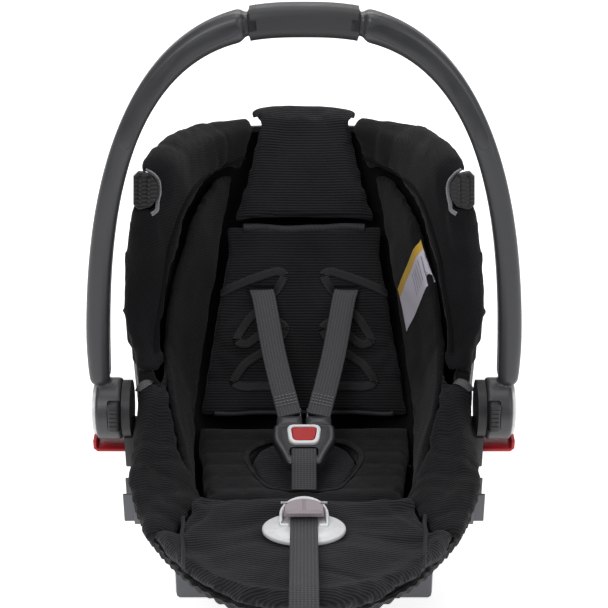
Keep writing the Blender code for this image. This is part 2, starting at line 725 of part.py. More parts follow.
def hub_cutters(name, side, pivot):
    """What is hollow in a hub: axle bore, lock plate's recess, button's pocket, spring's bore."""
    plate_high = EAR_X[1] + LOCK_PLATE[1] + 2 * RUN
    centre = button_centre(side)
    deep = BUTTON_TRAVEL + RUN
    pocket = box((BUTTON_SIZE[0] + 2 * RUN, BUTTON_SIZE[1] + deep, BUTTON_SIZE[2] + 2 * RUN),
                 centre + Vector((0, deep / 2 - 0.0001, 0)))
    front = box((BUTTON_SIZE[0] + 2 * RUN, 0.012, BUTTON_SIZE[2] + 2 * RUN),
                centre - Vector((0, BUTTON_SIZE[1] / 2, 0)))
    spring_bore = cylinder(SPRING_RADIUS + SPRING_WIRE + RUN, -0.001, 0.0075, 12)
    back = centre.y + BUTTON_SIZE[1] / 2 + deep - 0.0002
    turn = Matrix.Translation((centre.x + 0.0015 * side, back, centre.z)) @ \
        Matrix.Rotation(math.pi / 2, 4, "Z")
    return (
        hub_cylinder(f"{name}_axle_bore", side, AXLE_RADIUS + RUN, HUB_X[0] - 0.01, HUB_X[1] + 0.01,
                     24, 0, None, pivot),
        hub_cylinder(f"{name}_plate_recess", side, LOCK_PLATE[0] + RUN, HUB_X[0] - 0.01, plate_high,
                     32, 0, None, pivot),
        hub_cylinder(f"{name}_head_recess", side, AXLE_HEAD[0] + RUN,
                     HUB_X[1] - AXLE_HEAD[1] - 2 * RUN, HUB_X[1] + 0.01, 24, 0, None, pivot),
        add(f"{name}_button_pocket", pocket, None, pivot),
        add(f"{name}_button_mouth", front, None, pivot),
        add(f"{name}_spring_bore", spring_bore, None, pivot, turn),
    )


def coil(name, radius, wire, length, turns, at, parent, colour="steel"):
    """A compression spring along +Z from its origin, as one round wire."""
    curve = bpy.data.curves.new(name, "CURVE")
    curve.dimensions = "3D"
    curve.bevel_depth = wire
    curve.bevel_resolution = 1
    curve.use_fill_caps = True
    spline = curve.splines.new("POLY")
    steps = round(turns * 8)
    spline.points.add(steps)
    rise = length - 2 * wire
    for i, point in enumerate(spline.points):
        angle = 2 * math.pi * turns * i / steps
        point.co = (radius * math.cos(angle), radius * math.sin(angle), wire + rise * i / steps, 1)
    obj = bpy.data.objects.new(name, curve)
    SEAT.objects.link(obj)
    obj.data.materials.append(finish_for(name, colour))
    weld = obj.modifiers.new("weld", "WELD")
    weld.merge_threshold = 0.00001
    obj.matrix_local = at
    obj.parent = parent
    return obj


def make_hub(name, side, pivot):
    """Cap, button and spring of one hub; they turn with the handle."""
    low = HUB_X[1] + GAP
    cap = cylinder(HUB_CAP_RADIUS, low, low + HUB_CAP_THICKNESS, 32, 0.0012)
    bmesh.ops.scale(cap, vec=(side, 1, 1), verts=cap.verts)
    add(f"{name}_hub_cap", cap, "white", pivot)
    centre = button_centre(side)
    slide = empty(f"{name}_button_slide", Matrix.Translation(centre), pivot)
    add(f"{name}_handle_button", box(BUTTON_SIZE, (0, 0, 0), 0.0012), "grip", slide)
    start = centre.y + BUTTON_SIZE[1] / 2 + GAP
    end = start + BUTTON_TRAVEL + 0.0070
    turn = Matrix.Translation((centre.x + 0.0015 * side, start, centre.z)) @ \
        Matrix.Rotation(-math.pi / 2, 4, "X")
    coil(f"{name}_button_spring", SPRING_RADIUS, SPRING_WIRE, end - start, 5, turn, pivot)


def make_pivot(name, side):
    """Ear on the shell, lock plate and axle that carry one hub."""
    def place(bm):
        bmesh.ops.scale(bm, vec=(side, 1, 1), verts=bm.verts)
        return bm

    at = Matrix.Translation(PIVOT)
    ear = add(f"{name}_pivot_ear", place(cylinder(EAR_RADIUS, *EAR_X, 32)), "shell", at=at)
    low, high = EAR_FOOT_X
    foot = box((high - low, EAR_FOOT[0], EAR_FOOT[1]),
               ((low + high) / 2 * side, 0, EAR_FOOT[2]), 0.0015)
    cut(ear, add(f"{name}_ear_foot", foot, at=at), operation="UNION")
    cut(ear, add(f"{name}_hook_slot", box((0.03, HOOK_WIDTH + 2 * GAP, HOOK_THICKNESS + 2 * GAP),
                                          ((HOOK_X[0] - GAP + 0.015) * side, 0,
                                           HOOK_TOP - HOOK_THICKNESS / 2))))
    axle_low = EAR_X[0] + 0.002
    head_low = HUB_X[1] - AXLE_HEAD[1] - RUN
    axle = add(f"{name}_axle", place(cylinder(AXLE_RADIUS, axle_low, head_low + 0.001, 24)), "steel",
               at=at)
    head = place(cylinder(AXLE_HEAD[0], head_low, head_low + AXLE_HEAD[1], 24))
    cut(axle, add(f"{name}_axle_head", head, at=at), operation="UNION")
    bore = add(f"{name}_ear_bore", place(cylinder(AXLE_RADIUS + GAP, axle_low - GAP, 0.25, 24)), at=at)
    cut(ear, bore)
    teeth = []
    for i in range(36):
        reach = LOCK_PLATE[0] - (0.0018 if i % 4 > 1 else 0)
        teeth.append((reach * math.cos(math.pi * i / 18), reach * math.sin(math.pi * i / 18)))
    plate = extruded(teeth, LOCK_PLATE[1])
    turn = at @ Matrix.Translation(((EAR_X[1] + RUN + LOCK_PLATE[1] / 2) * side, 0, 0)) @ \
        Matrix.Rotation(math.pi / 2, 4, "Y")
    lock = add(f"{name}_lock_plate", plate, "steel", at=turn)
    cut(lock, bore)


def make_hook(name, side):
    """Red belt guide under a hub: a flat bar with an upturned tip."""
    low, high = HOOK_X
    thick = HOOK_THICKNESS
    outline = [(low, -thick), (high - 0.004, -thick), (high, -thick + 0.004), (high, HOOK_TIP),
               (high - thick, HOOK_TIP), (high - thick, 0.0015), (high - thick - 0.0015, 0), (low, 0)]
    bm = extruded(outline, HOOK_WIDTH, 0.001, 2)
    bmesh.ops.transform(bm, matrix=UPRIGHT, verts=bm.verts)
    bmesh.ops.scale(bm, vec=(side, 1, 1), verts=bm.verts)
    return add(f"{name}_belt_hook", bm, "red", at=Matrix.Translation((0, 0, HOOK_TOP)))


# ---------------------------------------------------------------- fittings on the shell
def make_adapter(name, side, envelope):
    """Bracket low on the shell's side, with the two upright blades of the belt guide."""
    x, y, z = ADAPTER_PLACE
    wide, high = ADAPTER_SIZE
    base = box((0.030, wide, high), ((x - 0.015) * side, y, z), 0.001)
    bracket = add(f"{name}_adapter", base, "grip")
    for i, shift in enumerate((-0.5, 0.5)):
        blade = box((ADAPTER_BLADE[0] + 0.004, ADAPTER_BLADE[1], high - 0.004),
                    ((x + ADAPTER_BLADE[0] / 2 - 0.002) * side, y + shift * (wide - 0.008), z), 0.0005, 1)
        cut(bracket, add(f"{name}_adapter_blade_{i}", blade), operation="UNION")
    return cut(bracket, envelope)


def guide_frame(side):
    """The wing pad's crest at the guide: x across towards the seat, y along the rim, z outwards."""
    rows = [[side_of(p, side) for p in pad_row(GUIDE_STATION + du, seam(GUIDE_STATION), (0, 0))]
            for du in (-0.4, 0, 0.4)]
    over = (rows[1][3] - rows[1][1]).normalized()
    normal = over.cross(rows[2][2] - rows[0][2]).normalized() * side
    turn = Matrix((over, normal.cross(over), normal)).transposed().to_4x4()
    return Matrix.Translation(rows[1][2]) @ turn


def make_guide(name, side):
    """A ribbed plastic guide set into a D-shaped opening over the wing pad's crest."""
    crest = guide_frame(side)
    wide, high, thick = GUIDE_SIZE
    half = [(-wide * 0.42, 0), (-wide * 0.42, -high / 2), (wide * 0.05, -high / 2),
            (wide * 0.42, -high * 0.36), (wide * 0.58, 0)]
    outline = [(x, -y) for x, y in half[1:-1]] + [(x, y) for x, y in half[::-1][:-1]]
    outline = rounded(outline, 0.005, 1)
    spread = 1 + 2 * GUIDE_GAP / wide
    hole = [(x * spread - (0.02 if x < 0 else 0), y * spread) for x, y in outline]
    cutter = add(f"{name}_guide_hole", extruded(hole, 0.034),
                 at=crest @ Matrix.Translation((0, 0, 0.003)))
    cut(bpy.data.objects[f"{name}_wing_pad"], cutter)
    place = crest @ Matrix.Translation((0, 0, -GUIDE_DROP - thick / 2))
    guide = add(f"{name}_shoulder_guide", extruded(outline, thick, 0.0008, 1), "black", at=place)
    for i, shift in enumerate((-0.18, 0.16)):
        rib = box((0.0026, high * 0.74, 0.004), (shift * wide, 0, thick / 2 + 0.0010))
        cut(guide, add(f"{name}_guide_rib_{i}", rib, at=place), operation="UNION")


def on_lining(u, t):
    """A point of the side wall: t runs from the rim pads' seam down to the seat."""
    return seam(u).lerp(lining_foot(u), t)


def make_label(name):
    """A plain sewn label on the left side lining."""
    u, t = LABEL_PLACE
    middle = on_lining(u, t)
    down = (on_lining(u, t + 0.2) - on_lining(u, t - 0.2)).normalized()
    over = on_lining(u + 0.3, t) - on_lining(u - 0.3, t)
    normal = down.cross(over).normalized()
    if normal.dot(CAVITY - middle) < 0:
        normal = -normal
    over = normal.cross(down)
    turn = Matrix((over, down, normal)).transposed().to_4x4()
    place = Matrix.Translation(middle + normal * 0.0025) @ turn
    add(name, box((*LABEL_SIZE, 0.0010)), "label", at=place)


# ---------------------------------------------------------------- harness
def tilted(place, tilt):
    return Matrix.Translation(place) @ Matrix.Rotation(tilt, 4, "X")


def curve_through(points, per_span=3):
    """More points on the smooth curve through a few."""
    found = []
    for i in range(len(points) - 1):
        for k in range(per_span):
            found.append(along([tuple(p) for p in points], i + k / per_span, mirrored=False))
    return found + [Vector(points[-1])]


def slot_point(row, reach):
    """A point on a strap slot's middle line, reach behind the back pad's face."""
    y, x = SLOT_ROWS[row]
    return Vector((x, y + reach * math.cos(SLOT_TILT), height_on(BACK_LINE, y) - reach * math.sin(SLOT_TILT)))


def make_shoulder_strap(name, side, buckle):
    tongue = buckle @ Vector((TONGUE_X, BUCKLE_SHIELD[0][1] + TONGUE[1] - TONGUE_IN + 0.0016, 0.0003))
    path = [YOKE_PLACE + Vector((YOKE_SIZE[0] / 2 - 0.015, 0.018, 0.0125)),
            Vector((0.040, 0.226, 0.124)), slot_point(0, 0.104) + Vector((0, 0.002, -0.008)),
            slot_point(0, 0.092), slot_point(0, 0.010), slot_point(0, -0.006),
            slot_point(0, 0).lerp(tongue, 0.12) + Vector((0, 0, 0.003)), tongue]
    path = [side_of(p, side) for p in curve_through(path)]
    return add(f"{name}_shoulder_strap", ribbon(path, Vector((1, 0, 0)), WEB_WIDTH, WEB_THICKNESS), "web")


def make_yoke():
    """Steel plate behind the shell that joins the shoulder straps to the adjuster strap."""
    turn = Matrix.Translation(YOKE_PLACE) @ Matrix.Rotation(math.radians(35), 4, "X")
    yoke = add("harness_yoke", box((*YOKE_SIZE, 0.0024), (0, 0, 0), 0.0008, 1), "steel", at=turn)
    for i, x in enumerate((-1, 1)):
        slot = box((WEB_WIDTH + 0.002, 0.004, 0.02), (x * (YOKE_SIZE[0] / 2 - 0.015), 0.009, 0))
        cut(yoke, add(f"yoke_slot_{i}", slot, at=turn))


def make_adjuster_strap():
    front = ADJUSTER_PLACE.y
    points = [(0, 0.1700, 0.0800), (0, 0.140, 0.060), (0, 0.100, 0.038), (0, 0.050, 0.017),
              (0, -0.010, 0.013), (0, -0.060, 0.022), (0, -0.105, 0.041), (0, -0.142, 0.058),
              (0, ADJUSTER_ENTRY, 0.078), (0, ADJUSTER_ENTRY, 0.120), (0, ADJUSTER_ENTRY, 0.178),
              (0, ADJUSTER_ENTRY - 0.006, 0.1862), (0, front - 0.012, 0.1907),
              (0, front - 0.034, 0.1945), (0, -0.250, 0.2000), (0, -0.285, 0.2072),
              (0, -0.303, 0.2115), (0, -0.3140, 0.2060), (0, -0.3165, 0.1940),
              (0, -0.3130, 0.1830), (0, -0.2980, 0.1730)]
    path = curve_through([Vector(p) for p in points], 2)
    return add("adjuster_strap", ribbon(path, Vector((1, 0, 0)), WEB_WIDTH, WEB_THICKNESS), "web")


def make_crotch_strap(buckle):
    pocket = buckle @ Vector((0, BUCKLE_SHIELD[-1][1] + 0.006, 0))
    y = CROTCH_Y
    points = [Vector((0, y, 0.0290)), Vector((0, y, 0.060)), Vector((0, y, 0.108)),
              Vector((0, y + 0.002, 0.124)), pocket.lerp(Vector((0, y + 0.004, 0.131)), 0.6), pocket]
    strap = ribbon(curve_through(points, 2), Vector((1, 0, 0)), WEB_WIDTH, WEB_THICKNESS)
    add("crotch_strap", strap, "web")
    add("crotch_anchor", box((0.042, 0.016, 0.002), (0, y, 0.0276), 0.0005, 1), "steel")


def make_buckle(buckle):
    """Shield-shaped buckle with a white frame, a sprung red button and two tongues."""
    body = extruded(rounded(mirrored_outline(BUCKLE_SHIELD), 0.008, 2), BUCKLE_THICKNESS, 0.003)
    body = add("buckle_body", body, "grey", at=buckle)
    face = BUCKLE_THICKNESS / 2
    wide, high, thick = BUCKLE_FRAME
    middle = Vector((0, BUCKLE_SHIELD[0][1] - high / 2 - 0.0025, face + GAP + thick / 2))
    place = buckle @ Matrix.Translation(middle)
    ring = rounded([(-wide / 2, -high / 2), (wide / 2, -high / 2), (wide / 2, high / 2),
                    (-wide / 2, high / 2)], 0.006, 2)
    frame = add("buckle_frame", extruded(ring, thick, 0.0010, 1), "white", at=place)
    red_x, red_y, red_z = RED_BUTTON
    opening = box((red_x + 2 * RUN, red_y + 2 * RUN, 0.02))
    cut(frame, add("frame_opening", opening, at=place))
    lift = thick / 2 + 0.0012 - red_z / 2
    slide = empty("buckle_button_slide", place @ Matrix.Translation((0, 0, lift)))
    add("buckle_button", box(RED_BUTTON, (0, 0, 0), 0.0012, 1), "red", slide)
    depth = red_z - thick - 0.0012 + RED_TRAVEL + GAP
    pocket = box((red_x + 2 * RUN, red_y + 2 * RUN, 2 * depth), (middle.x, middle.y, face))
    cut(body, add("red_pocket", pocket, at=buckle))
    well = cylinder(SPRING_RADIUS + SPRING_WIRE + RUN, -depth - 0.0035, -depth + 0.001, 12)
    turn = buckle @ Matrix.Translation((middle.x, middle.y, face)) @ Matrix.Rotation(-math.pi / 2, 4, "Y")
    cut(body, add("red_spring_well", well, at=turn))
    start = face - depth - 0.0031
    rest = middle.z + lift - red_z / 2 - GAP
    at = buckle @ Matrix.Translation((middle.x, middle.y, start))
    coil("buckle_spring", SPRING_RADIUS, SPRING_WIRE, rest - start, 4, at, None)
    tail = box((WEB_WIDTH + 0.003, 0.018, WEB_THICKNESS + 0.002), (0, BUCKLE_SHIELD[-1][1], 0))
    cut(body, add("tail_slot", tail, at=buckle))
    for name, side in SIDES:
        make_tongue(name, side, buckle, body)


def make_tongue(name, side, buckle, body):
    wide, long, thick = TONGUE
    middle = Vector((TONGUE_X * side, BUCKLE_SHIELD[0][1] - TONGUE_IN + long / 2, TONGUE_Z))
    tongue = add(f"{name}_tongue", box(TONGUE, (0, 0, 0), 0.0006, 1), "steel",
                 at=buckle @ Matrix.Translation(middle))
    mouth = box((wide + 2 * GAP, 2 * (TONGUE_IN + GAP), thick + 2 * GAP),
                (middle.x, BUCKLE_SHIELD[0][1], middle.z))
    cut(body, add(f"{name}_tongue_mouth", mouth, at=buckle))
    slot = box((WEB_WIDTH - 0.007, 0.004, 0.02), (0, long / 2 - 0.0055, 0))
    cut(tongue, add(f"{name}_tongue_slot", slot, at=buckle @ Matrix.Translation(middle)))


# ---------------------------------------------------------------- harness adjuster
def dome_outline(inset):
    """D shape: straight towards the feet, round towards the seat."""
    half, long = ADJUSTER_DOME[0] - inset, ADJUSTER_DOME[1] - inset
    front = -ADJUSTER_DOME[1] / 2 + inset
    points = [(half, front)]
    for i in range(9):
        angle = math.pi * i / 8
        points.append((half * math.cos(angle), front + 0.35 * long + (0.65 * long - inset) * math.sin(angle)))
    return points + [(-half, front)]


def make_adjuster():
    place = tilted(ADJUSTER_PLACE, ADJUSTER_TILT)
    half, deep, thick = ADJUSTER_PLATE
    oval = [(half * math.cos(math.pi * i / 14), deep * math.sin(math.pi * i / 14)) for i in range(28)]
    housing = add("adjuster_housing", extruded(oval, thick, 0.0015, 2), "white", at=place)
    tall = ADJUSTER_DOME[2]
    dome_at = place @ Matrix.Translation((0, DOME_SHIFT, thick / 2 + tall / 2 - 0.001))
    dome = add("adjuster_dome", extruded(dome_outline(0), tall, 0.0015, 2), at=dome_at)
    cut(housing, dome, operation="UNION")
    well = add("adjuster_well", extruded(dome_outline(0.0028), tall), at=dome_at @
               Matrix.Translation((0, 0, 0.0020)))
    cut(housing, well)
    entry = box((WEB_WIDTH + 0.003, 0.0060, 0.06), (0, 0, 0))
    entry_at = Matrix.Translation((0, ADJUSTER_ENTRY, ADJUSTER_PLACE.z))
    cut(housing, add("adjuster_entry", entry, at=entry_at))
    mouth = box((WEB_WIDTH + 0.003, 0.020, 0.0052),
                (0, DOME_SHIFT - ADJUSTER_DOME[1] / 2, thick / 2 + 0.0027))
    cut(housing, add("adjuster_mouth", mouth, at=place))
    hinge = Vector((0, DOME_SHIFT + LEVER_HINGE, thick / 2 + tall - 0.0040))
    turn = empty("adjuster_hinge", place @ Matrix.Translation(hinge))
    outline = [(x, y - LEVER_HINGE) for x, y in dome_outline(0.0028 + RUN)]
    lever = add("adjuster_lever", extruded(outline, LEVER_THICKNESS, 0.0008, 1), "mauve", turn)
    lever_bore = cylinder(PIN_RADIUS + 0.0002, -0.04, 0.04, 12)
    cut(lever, add("lever_bore", lever_bore, None, turn))
    add("adjuster_pin", cylinder(PIN_RADIUS, -PIN_HALF, PIN_HALF, 12), "steel",
        at=place @ Matrix.Translation(hinge))
    pin_bore = cylinder(PIN_RADIUS + 0.0002, -PIN_HALF - GAP, PIN_HALF + GAP, 12)
    cut(housing, add("pin_bore", pin_bore, at=place @ Matrix.Translation(hinge)))
    start = thick / 2 + 0.0014
    end = hinge.z - LEVER_THICKNESS / 2 - GAP
    at = place @ Matrix.Translation((0.0160, hinge.y - 0.0060, start))
    coil("adjuster_spring", 0.0020, 0.0004, end - start, 4, at, None)


SIDES = (("left", 1), ("right", -1))


def main():
    slots = slot_cutters()
    shell = make_shell()
    foam = make_foam()
    envelope = shell_envelope()
    make_cover(slots)
    cut(shell, *slots)
    cut(foam, *slots)
    for name, _ in SIDES:       # the foam is hollowed where the cover presses into it
        cut(foam, *(bpy.data.objects[f"{name}_{pad}"] for pad in ("side_lining", "wing_pad", "arm_pad")))
    cut(foam, bpy.data.objects["seat_pad"])
    for name, side in SIDES:
        bores = []
        for place, y in zip(("front", "rear"), SCREW_PLACES):
            bores += make_screw(f"{name}_{place}_screw", RUNNER_X * side, y)
        cut(shell, *bores)
        cut(foam, *bores)
        make_runner(f"{name}_runner", side, envelope, bores)
        make_pivot(name, side)
        make_hook(name, side)
        make_adapter(name, side, envelope)
        make_guide(name, side)
    make_label("side_label")
    buckle = tilted(BUCKLE_PLACE, BUCKLE_TILT)
    make_buckle(buckle)
    for name, side in SIDES:
        make_shoulder_strap(name, side, buckle)
    make_crotch_strap(buckle)
    make_yoke()
    make_adjuster_strap()
    make_adjuster()
    entry = add("strap_entry", box((WEB_WIDTH + 0.004, 0.0070, 0.30), (0, ADJUSTER_ENTRY, 0.10)))
    crotch = add("crotch_entry", box((WEB_WIDTH + 0.004, 0.0080, 0.12), (0, CROTCH_Y, 0.07)))
    for hole in (entry, crotch):
        cut(shell, hole)
        cut(foam, hole)
    cut(bpy.data.objects["front_bolster"], entry)
    cut(bpy.data.objects["crotch_pad"], crotch)
    pivot = empty("handle_pivot", Matrix.Translation(PIVOT) @ Matrix.Rotation(-HANDLE_LEAN, 4, "X"))
    make_handle(pivot)


main()
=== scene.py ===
import math

import bmesh
import bpy
from mathutils import Matrix, Vector, noise
from mathutils.bvhtree import BVHTree


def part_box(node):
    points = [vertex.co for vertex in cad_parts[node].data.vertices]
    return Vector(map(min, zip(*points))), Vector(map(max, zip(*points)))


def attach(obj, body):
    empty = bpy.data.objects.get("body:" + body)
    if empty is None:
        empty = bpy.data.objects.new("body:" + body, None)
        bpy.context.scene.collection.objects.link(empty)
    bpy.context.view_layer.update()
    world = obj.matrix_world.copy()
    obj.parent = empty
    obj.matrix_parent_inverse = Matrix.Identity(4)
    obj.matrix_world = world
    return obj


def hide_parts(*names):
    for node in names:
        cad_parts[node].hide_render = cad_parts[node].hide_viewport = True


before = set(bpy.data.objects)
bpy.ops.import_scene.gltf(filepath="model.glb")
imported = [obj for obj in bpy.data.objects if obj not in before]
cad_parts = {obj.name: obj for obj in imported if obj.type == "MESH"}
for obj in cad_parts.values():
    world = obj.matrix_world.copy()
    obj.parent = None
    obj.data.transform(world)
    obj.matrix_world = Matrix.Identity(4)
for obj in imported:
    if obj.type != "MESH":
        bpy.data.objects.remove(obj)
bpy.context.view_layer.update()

MM = 0.001
SIDES = (("left", 1), ("right", -1))

PIVOT = Vector((0.0, 0.0, 0.195))
HANDLE_LEAN = math.radians(10)
HANDLE_OUTER = (0.214, 0.402, 2.60)
HANDLE_INNER = (0.1915, 0.373, 2.75)
HANDLE_DEPTH = 0.034
HANDLE_FOOT = math.radians(1.75)
GRIP_ANGLE = math.radians(9.6)
INLAY_SPAN = (math.radians(38), math.radians(79))
INLAY_HALF, INLAY_TIP, INLAY_END = 0.0066, 0.0012, 0.05     # half width, at the tip, share that narrows
HUB_RADIUS, HUB_LOW, HUB_HIGH = 0.031, 0.1802, 0.2052
WEB_WIDTH, WEB_THICKNESS = 0.025, 0.0014
STRAP_ROWS = ((0.178, 0.046), (0.150, 0.046), (0.124, 0.046))
SLOT_TILT = math.radians(36.5)
BACK_LINE = [(0.102, 0.125), (0.128, 0.158), (0.148, 0.186), (0.166, 0.211), (0.182, 0.233),
             (0.196, 0.252), (0.2205, 0.2845)]
CROTCH_HOLE = [(0.030, 0.066), (0.056, 0.040), (0.053, 0.014), (0.042, -0.014), (0.026, -0.034)]


def tilted(place, degrees):
    return Matrix.Translation(place) @ Matrix.Rotation(math.radians(degrees), 4, "X")


HANDLE = (Matrix.Translation(PIVOT) @ Matrix.Rotation(-HANDLE_LEAN, 4, "X")
          @ Matrix.Rotation(math.pi / 2, 4, "X"))
BUCKLE = tilted((0.0, 0.0085, 0.1425), 15)
ADJUSTER = tilted((0.0, -0.1800, 0.1835), -10)


# ---------------------------------------------------------------- finishes
def linear(code):
    """A colour of a colour card, as sRGB hex, in linear light."""
    parts = [int(code[i:i + 2], 16) / 255 for i in (1, 3, 5)]
    return tuple(c / 12.92 if c <= 0.04045 else ((c + 0.055) / 1.055) ** 2.4 for c in parts) + (1,)


def add(tree, kind, settings=None, links=None, **options):
    """One node with its options, socket values and incoming links."""
    made = tree.nodes.new(kind)
    for key, value in options.items():
        setattr(made, key, value)
    for key, value in (settings or {}).items():
        made.inputs[key].default_value = value
    for key, source in (links or {}).items():
        tree.links.new(source, made.inputs[key])
    return made


def new_finish(name, **values):
    """An empty finish: its tree, its shader and object coordinates."""
    made = bpy.data.materials.new(name)
    made.use_nodes = True
    tree = made.node_tree
    tree.nodes.clear()
    shader = add(tree, "ShaderNodeBsdfPrincipled", values)
    add(tree, "ShaderNodeOutputMaterial", links={"Surface": shader.outputs[0]})
    place = add(tree, "ShaderNodeTexCoord").outputs["Object"]
    return made, tree, shader, place


def tone(tree, shader, factor, low, high):
    """The colour between two shades, led by a pattern."""
    mixed = add(tree, "ShaderNodeMix", {6: linear(low), 7: linear(high)}, {0: factor}, data_type="RGBA")
    tree.links.new(mixed.outputs[2], shader.inputs["Base Color"])
    return mixed


def relief(tree, shader, height, distance, strength=1.0):
    bump = add(tree, "ShaderNodeBump", {"Distance": distance, "Strength": strength}, {"Height": height})
    tree.links.new(bump.outputs[0], shader.inputs["Normal"])


def pitch(length):
    """Wave texture scale whose bands repeat at a real length."""
    return math.pi / 10 / length


def fabric(name, low, high, rib, turn, thread=1.1 * MM, rib_depth=0.35, sheen=0.08, sway=0.6):
    """Knitted or woven polyester: matt, a soft sheen at grazing angles, ribs of a set spacing.

    The threads are about 0.4 mm apart in the real cloth and are drawn coarser so that they show.
    """
    made, tree, shader, place = new_finish(name, **{"Roughness": 0.88, "Sheen Weight": sheen,
                                                    "Sheen Roughness": 0.45, "IOR": 1.45,
                                                    "Specular IOR Level": 0.22})
    turned = add(tree, "ShaderNodeMapping", {"Rotation": turn}, {"Vector": place}).outputs[0]
    ribs = add(tree, "ShaderNodeTexWave", {"Scale": pitch(rib), "Distortion": sway, "Detail": 2.0,
                                           "Detail Scale": 1.5}, {"Vector": turned},
               wave_type="BANDS", bands_direction="Z").outputs["Fac"]
    threads = add(tree, "ShaderNodeTexNoise", {"Scale": 1 / thread, "Detail": 3.0, "Roughness": 0.6},
                  {"Vector": turned}).outputs["Fac"]
    worn = add(tree, "ShaderNodeTexNoise", {"Scale": 1 / 0.055, "Detail": 4.0}, {"Vector": place})
    both = add(tree, "ShaderNodeMath", {2: 0.5}, {0: ribs, 1: threads}, operation="MULTIPLY_ADD")
    both.inputs[2].default_value = 0.0
    mottled = add(tree, "ShaderNodeMath", {1: 0.55}, {0: worn.outputs["Fac"], 2: both.outputs[0]},
                  operation="MULTIPLY_ADD")
    spread = add(tree, "ShaderNodeMapRange", {"From Min": 0.2, "From Max": 0.9},
                 {"Value": mottled.outputs[0]})
    tone(tree, shader, spread.outputs[0], low, high)
    height = add(tree, "ShaderNodeMath", {1: rib_depth}, {0: ribs, 2: threads}, operation="MULTIPLY_ADD")
    relief(tree, shader, height.outputs[0], 0.9 * MM, 0.75)
    return made


def webbing(name, low, high, along_pitch, across_pitch, sheen=0.05):
    """Woven polyester tape: picks across it and cords along it, on the tape's own lengths."""
    made, tree, shader, _ = new_finish(name, **{"Roughness": 0.62, "Sheen Weight": sheen, "IOR": 1.5, "Specular IOR Level": 0.3})
    along = add(tree, "ShaderNodeAttribute", attribute_name="along").outputs["Fac"]
    across = add(tree, "ShaderNodeAttribute", attribute_name="across").outputs["Fac"]
    tape = add(tree, "ShaderNodeCombineXYZ", links={"X": across, "Y": along}).outputs[0]
    picks = add(tree, "ShaderNodeTexWave", {"Scale": pitch(along_pitch), "Distortion": 0.3},
                {"Vector": tape}, bands_direction="Y").outputs["Fac"]
    cords = add(tree, "ShaderNodeTexWave", {"Scale": pitch(across_pitch), "Distortion": 0.2},
                {"Vector": tape}, bands_direction="X").outputs["Fac"]
    fuzz = add(tree, "ShaderNodeTexNoise", {"Scale": 1 / (0.8 * MM), "Detail": 2.0},
               {"Vector": tape}).outputs["Fac"]
    grid = add(tree, "ShaderNodeMath", links={0: picks, 1: cords}, operation="MULTIPLY").outputs[0]
    mixed = add(tree, "ShaderNodeMath", {1: 0.6}, {0: grid, 2: fuzz}, operation="MULTIPLY_ADD")
    spread = add(tree, "ShaderNodeMapRange", {"From Min": 0.25, "From Max": 1.2},
                 {"Value": mixed.outputs[0]})
    tone(tree, shader, spread.outputs[0], low, high)
    relief(tree, shader, mixed.outputs[0], 0.7 * MM, 0.7)
    return made


def moulded(name, low, high, roughness, grain=0.9 * MM, depth=0.06 * MM, ior=1.53, coat=0.0, ribs=0.0):
    """Injection moulded plastic: even colour, a spark-eroded grain and faint handling marks."""
    made, tree, shader, place = new_finish(name, **{"IOR": ior, "Coat Weight": coat,
                                                    "Coat Roughness": 0.15})
    rubbed = add(tree, "ShaderNodeTexNoise", {"Scale": 1 / 0.045, "Detail": 6.0, "Roughness": 0.65},
                 {"Vector": place}).outputs["Fac"]
    grit = add(tree, "ShaderNodeTexNoise", {"Scale": 1 / grain, "Detail": 2.0}, {"Vector": place}).outputs["Fac"]
    tone(tree, shader, rubbed, low, high)
    gloss = add(tree, "ShaderNodeMapRange", {"From Min": 0.3, "From Max": 0.7, "To Min": roughness - 0.06,
                                             "To Max": roughness + 0.08}, {"Value": rubbed})
    tree.links.new(gloss.outputs[0], shader.inputs["Roughness"])
    height = grit
    if ribs:
        bands = add(tree, "ShaderNodeTexWave", {"Scale": pitch(ribs)}, {"Vector": place},
                    bands_direction="Z").outputs["Fac"]
        height = add(tree, "ShaderNodeMath", {1: 6.0}, {0: bands, 2: grit},
                     operation="MULTIPLY_ADD").outputs[0]
    relief(tree, shader, height, depth, 0.8)
    return made


def plated(name):
    """Zinc-plated steel, tumbled: a cool grey with small bright and dull patches."""
    made, tree, shader, place = new_finish(name, **{"Metallic": 1.0})
    patches = add(tree, "ShaderNodeTexNoise", {"Scale": 1 / (3 * MM), "Detail": 5.0}, {"Vector": place}).outputs["Fac"]
    tone(tree, shader, patches, "#9a9da1", "#c9ccd0")
    gloss = add(tree, "ShaderNodeMapRange", {"To Min": 0.25, "To Max": 0.45}, {"Value": patches})
    tree.links.new(gloss.outputs[0], shader.inputs["Roughness"])
    relief(tree, shader, patches, 0.05 * MM, 0.5)
    return made


def beaded(name):
    """Expanded polypropylene: fused black beads about 3 mm across."""
    made, tree, shader, place = new_finish(name, **{"Roughness": 0.8, "IOR": 1.5})
    beads = add(tree, "ShaderNodeTexVoronoi", {"Scale": 1 / (3 * MM)}, {"Vector": place},
                feature="DISTANCE_TO_EDGE").outputs["Distance"]
    edges = add(tree, "ShaderNodeMapRange", {"From Max": 0.12}, {"Value": beads}).outputs[0]
    tone(tree, shader, edges, "#0c0c0d", "#1e1e20")
    relief(tree, shader, edges, 0.4 * MM, 0.6)
    return made


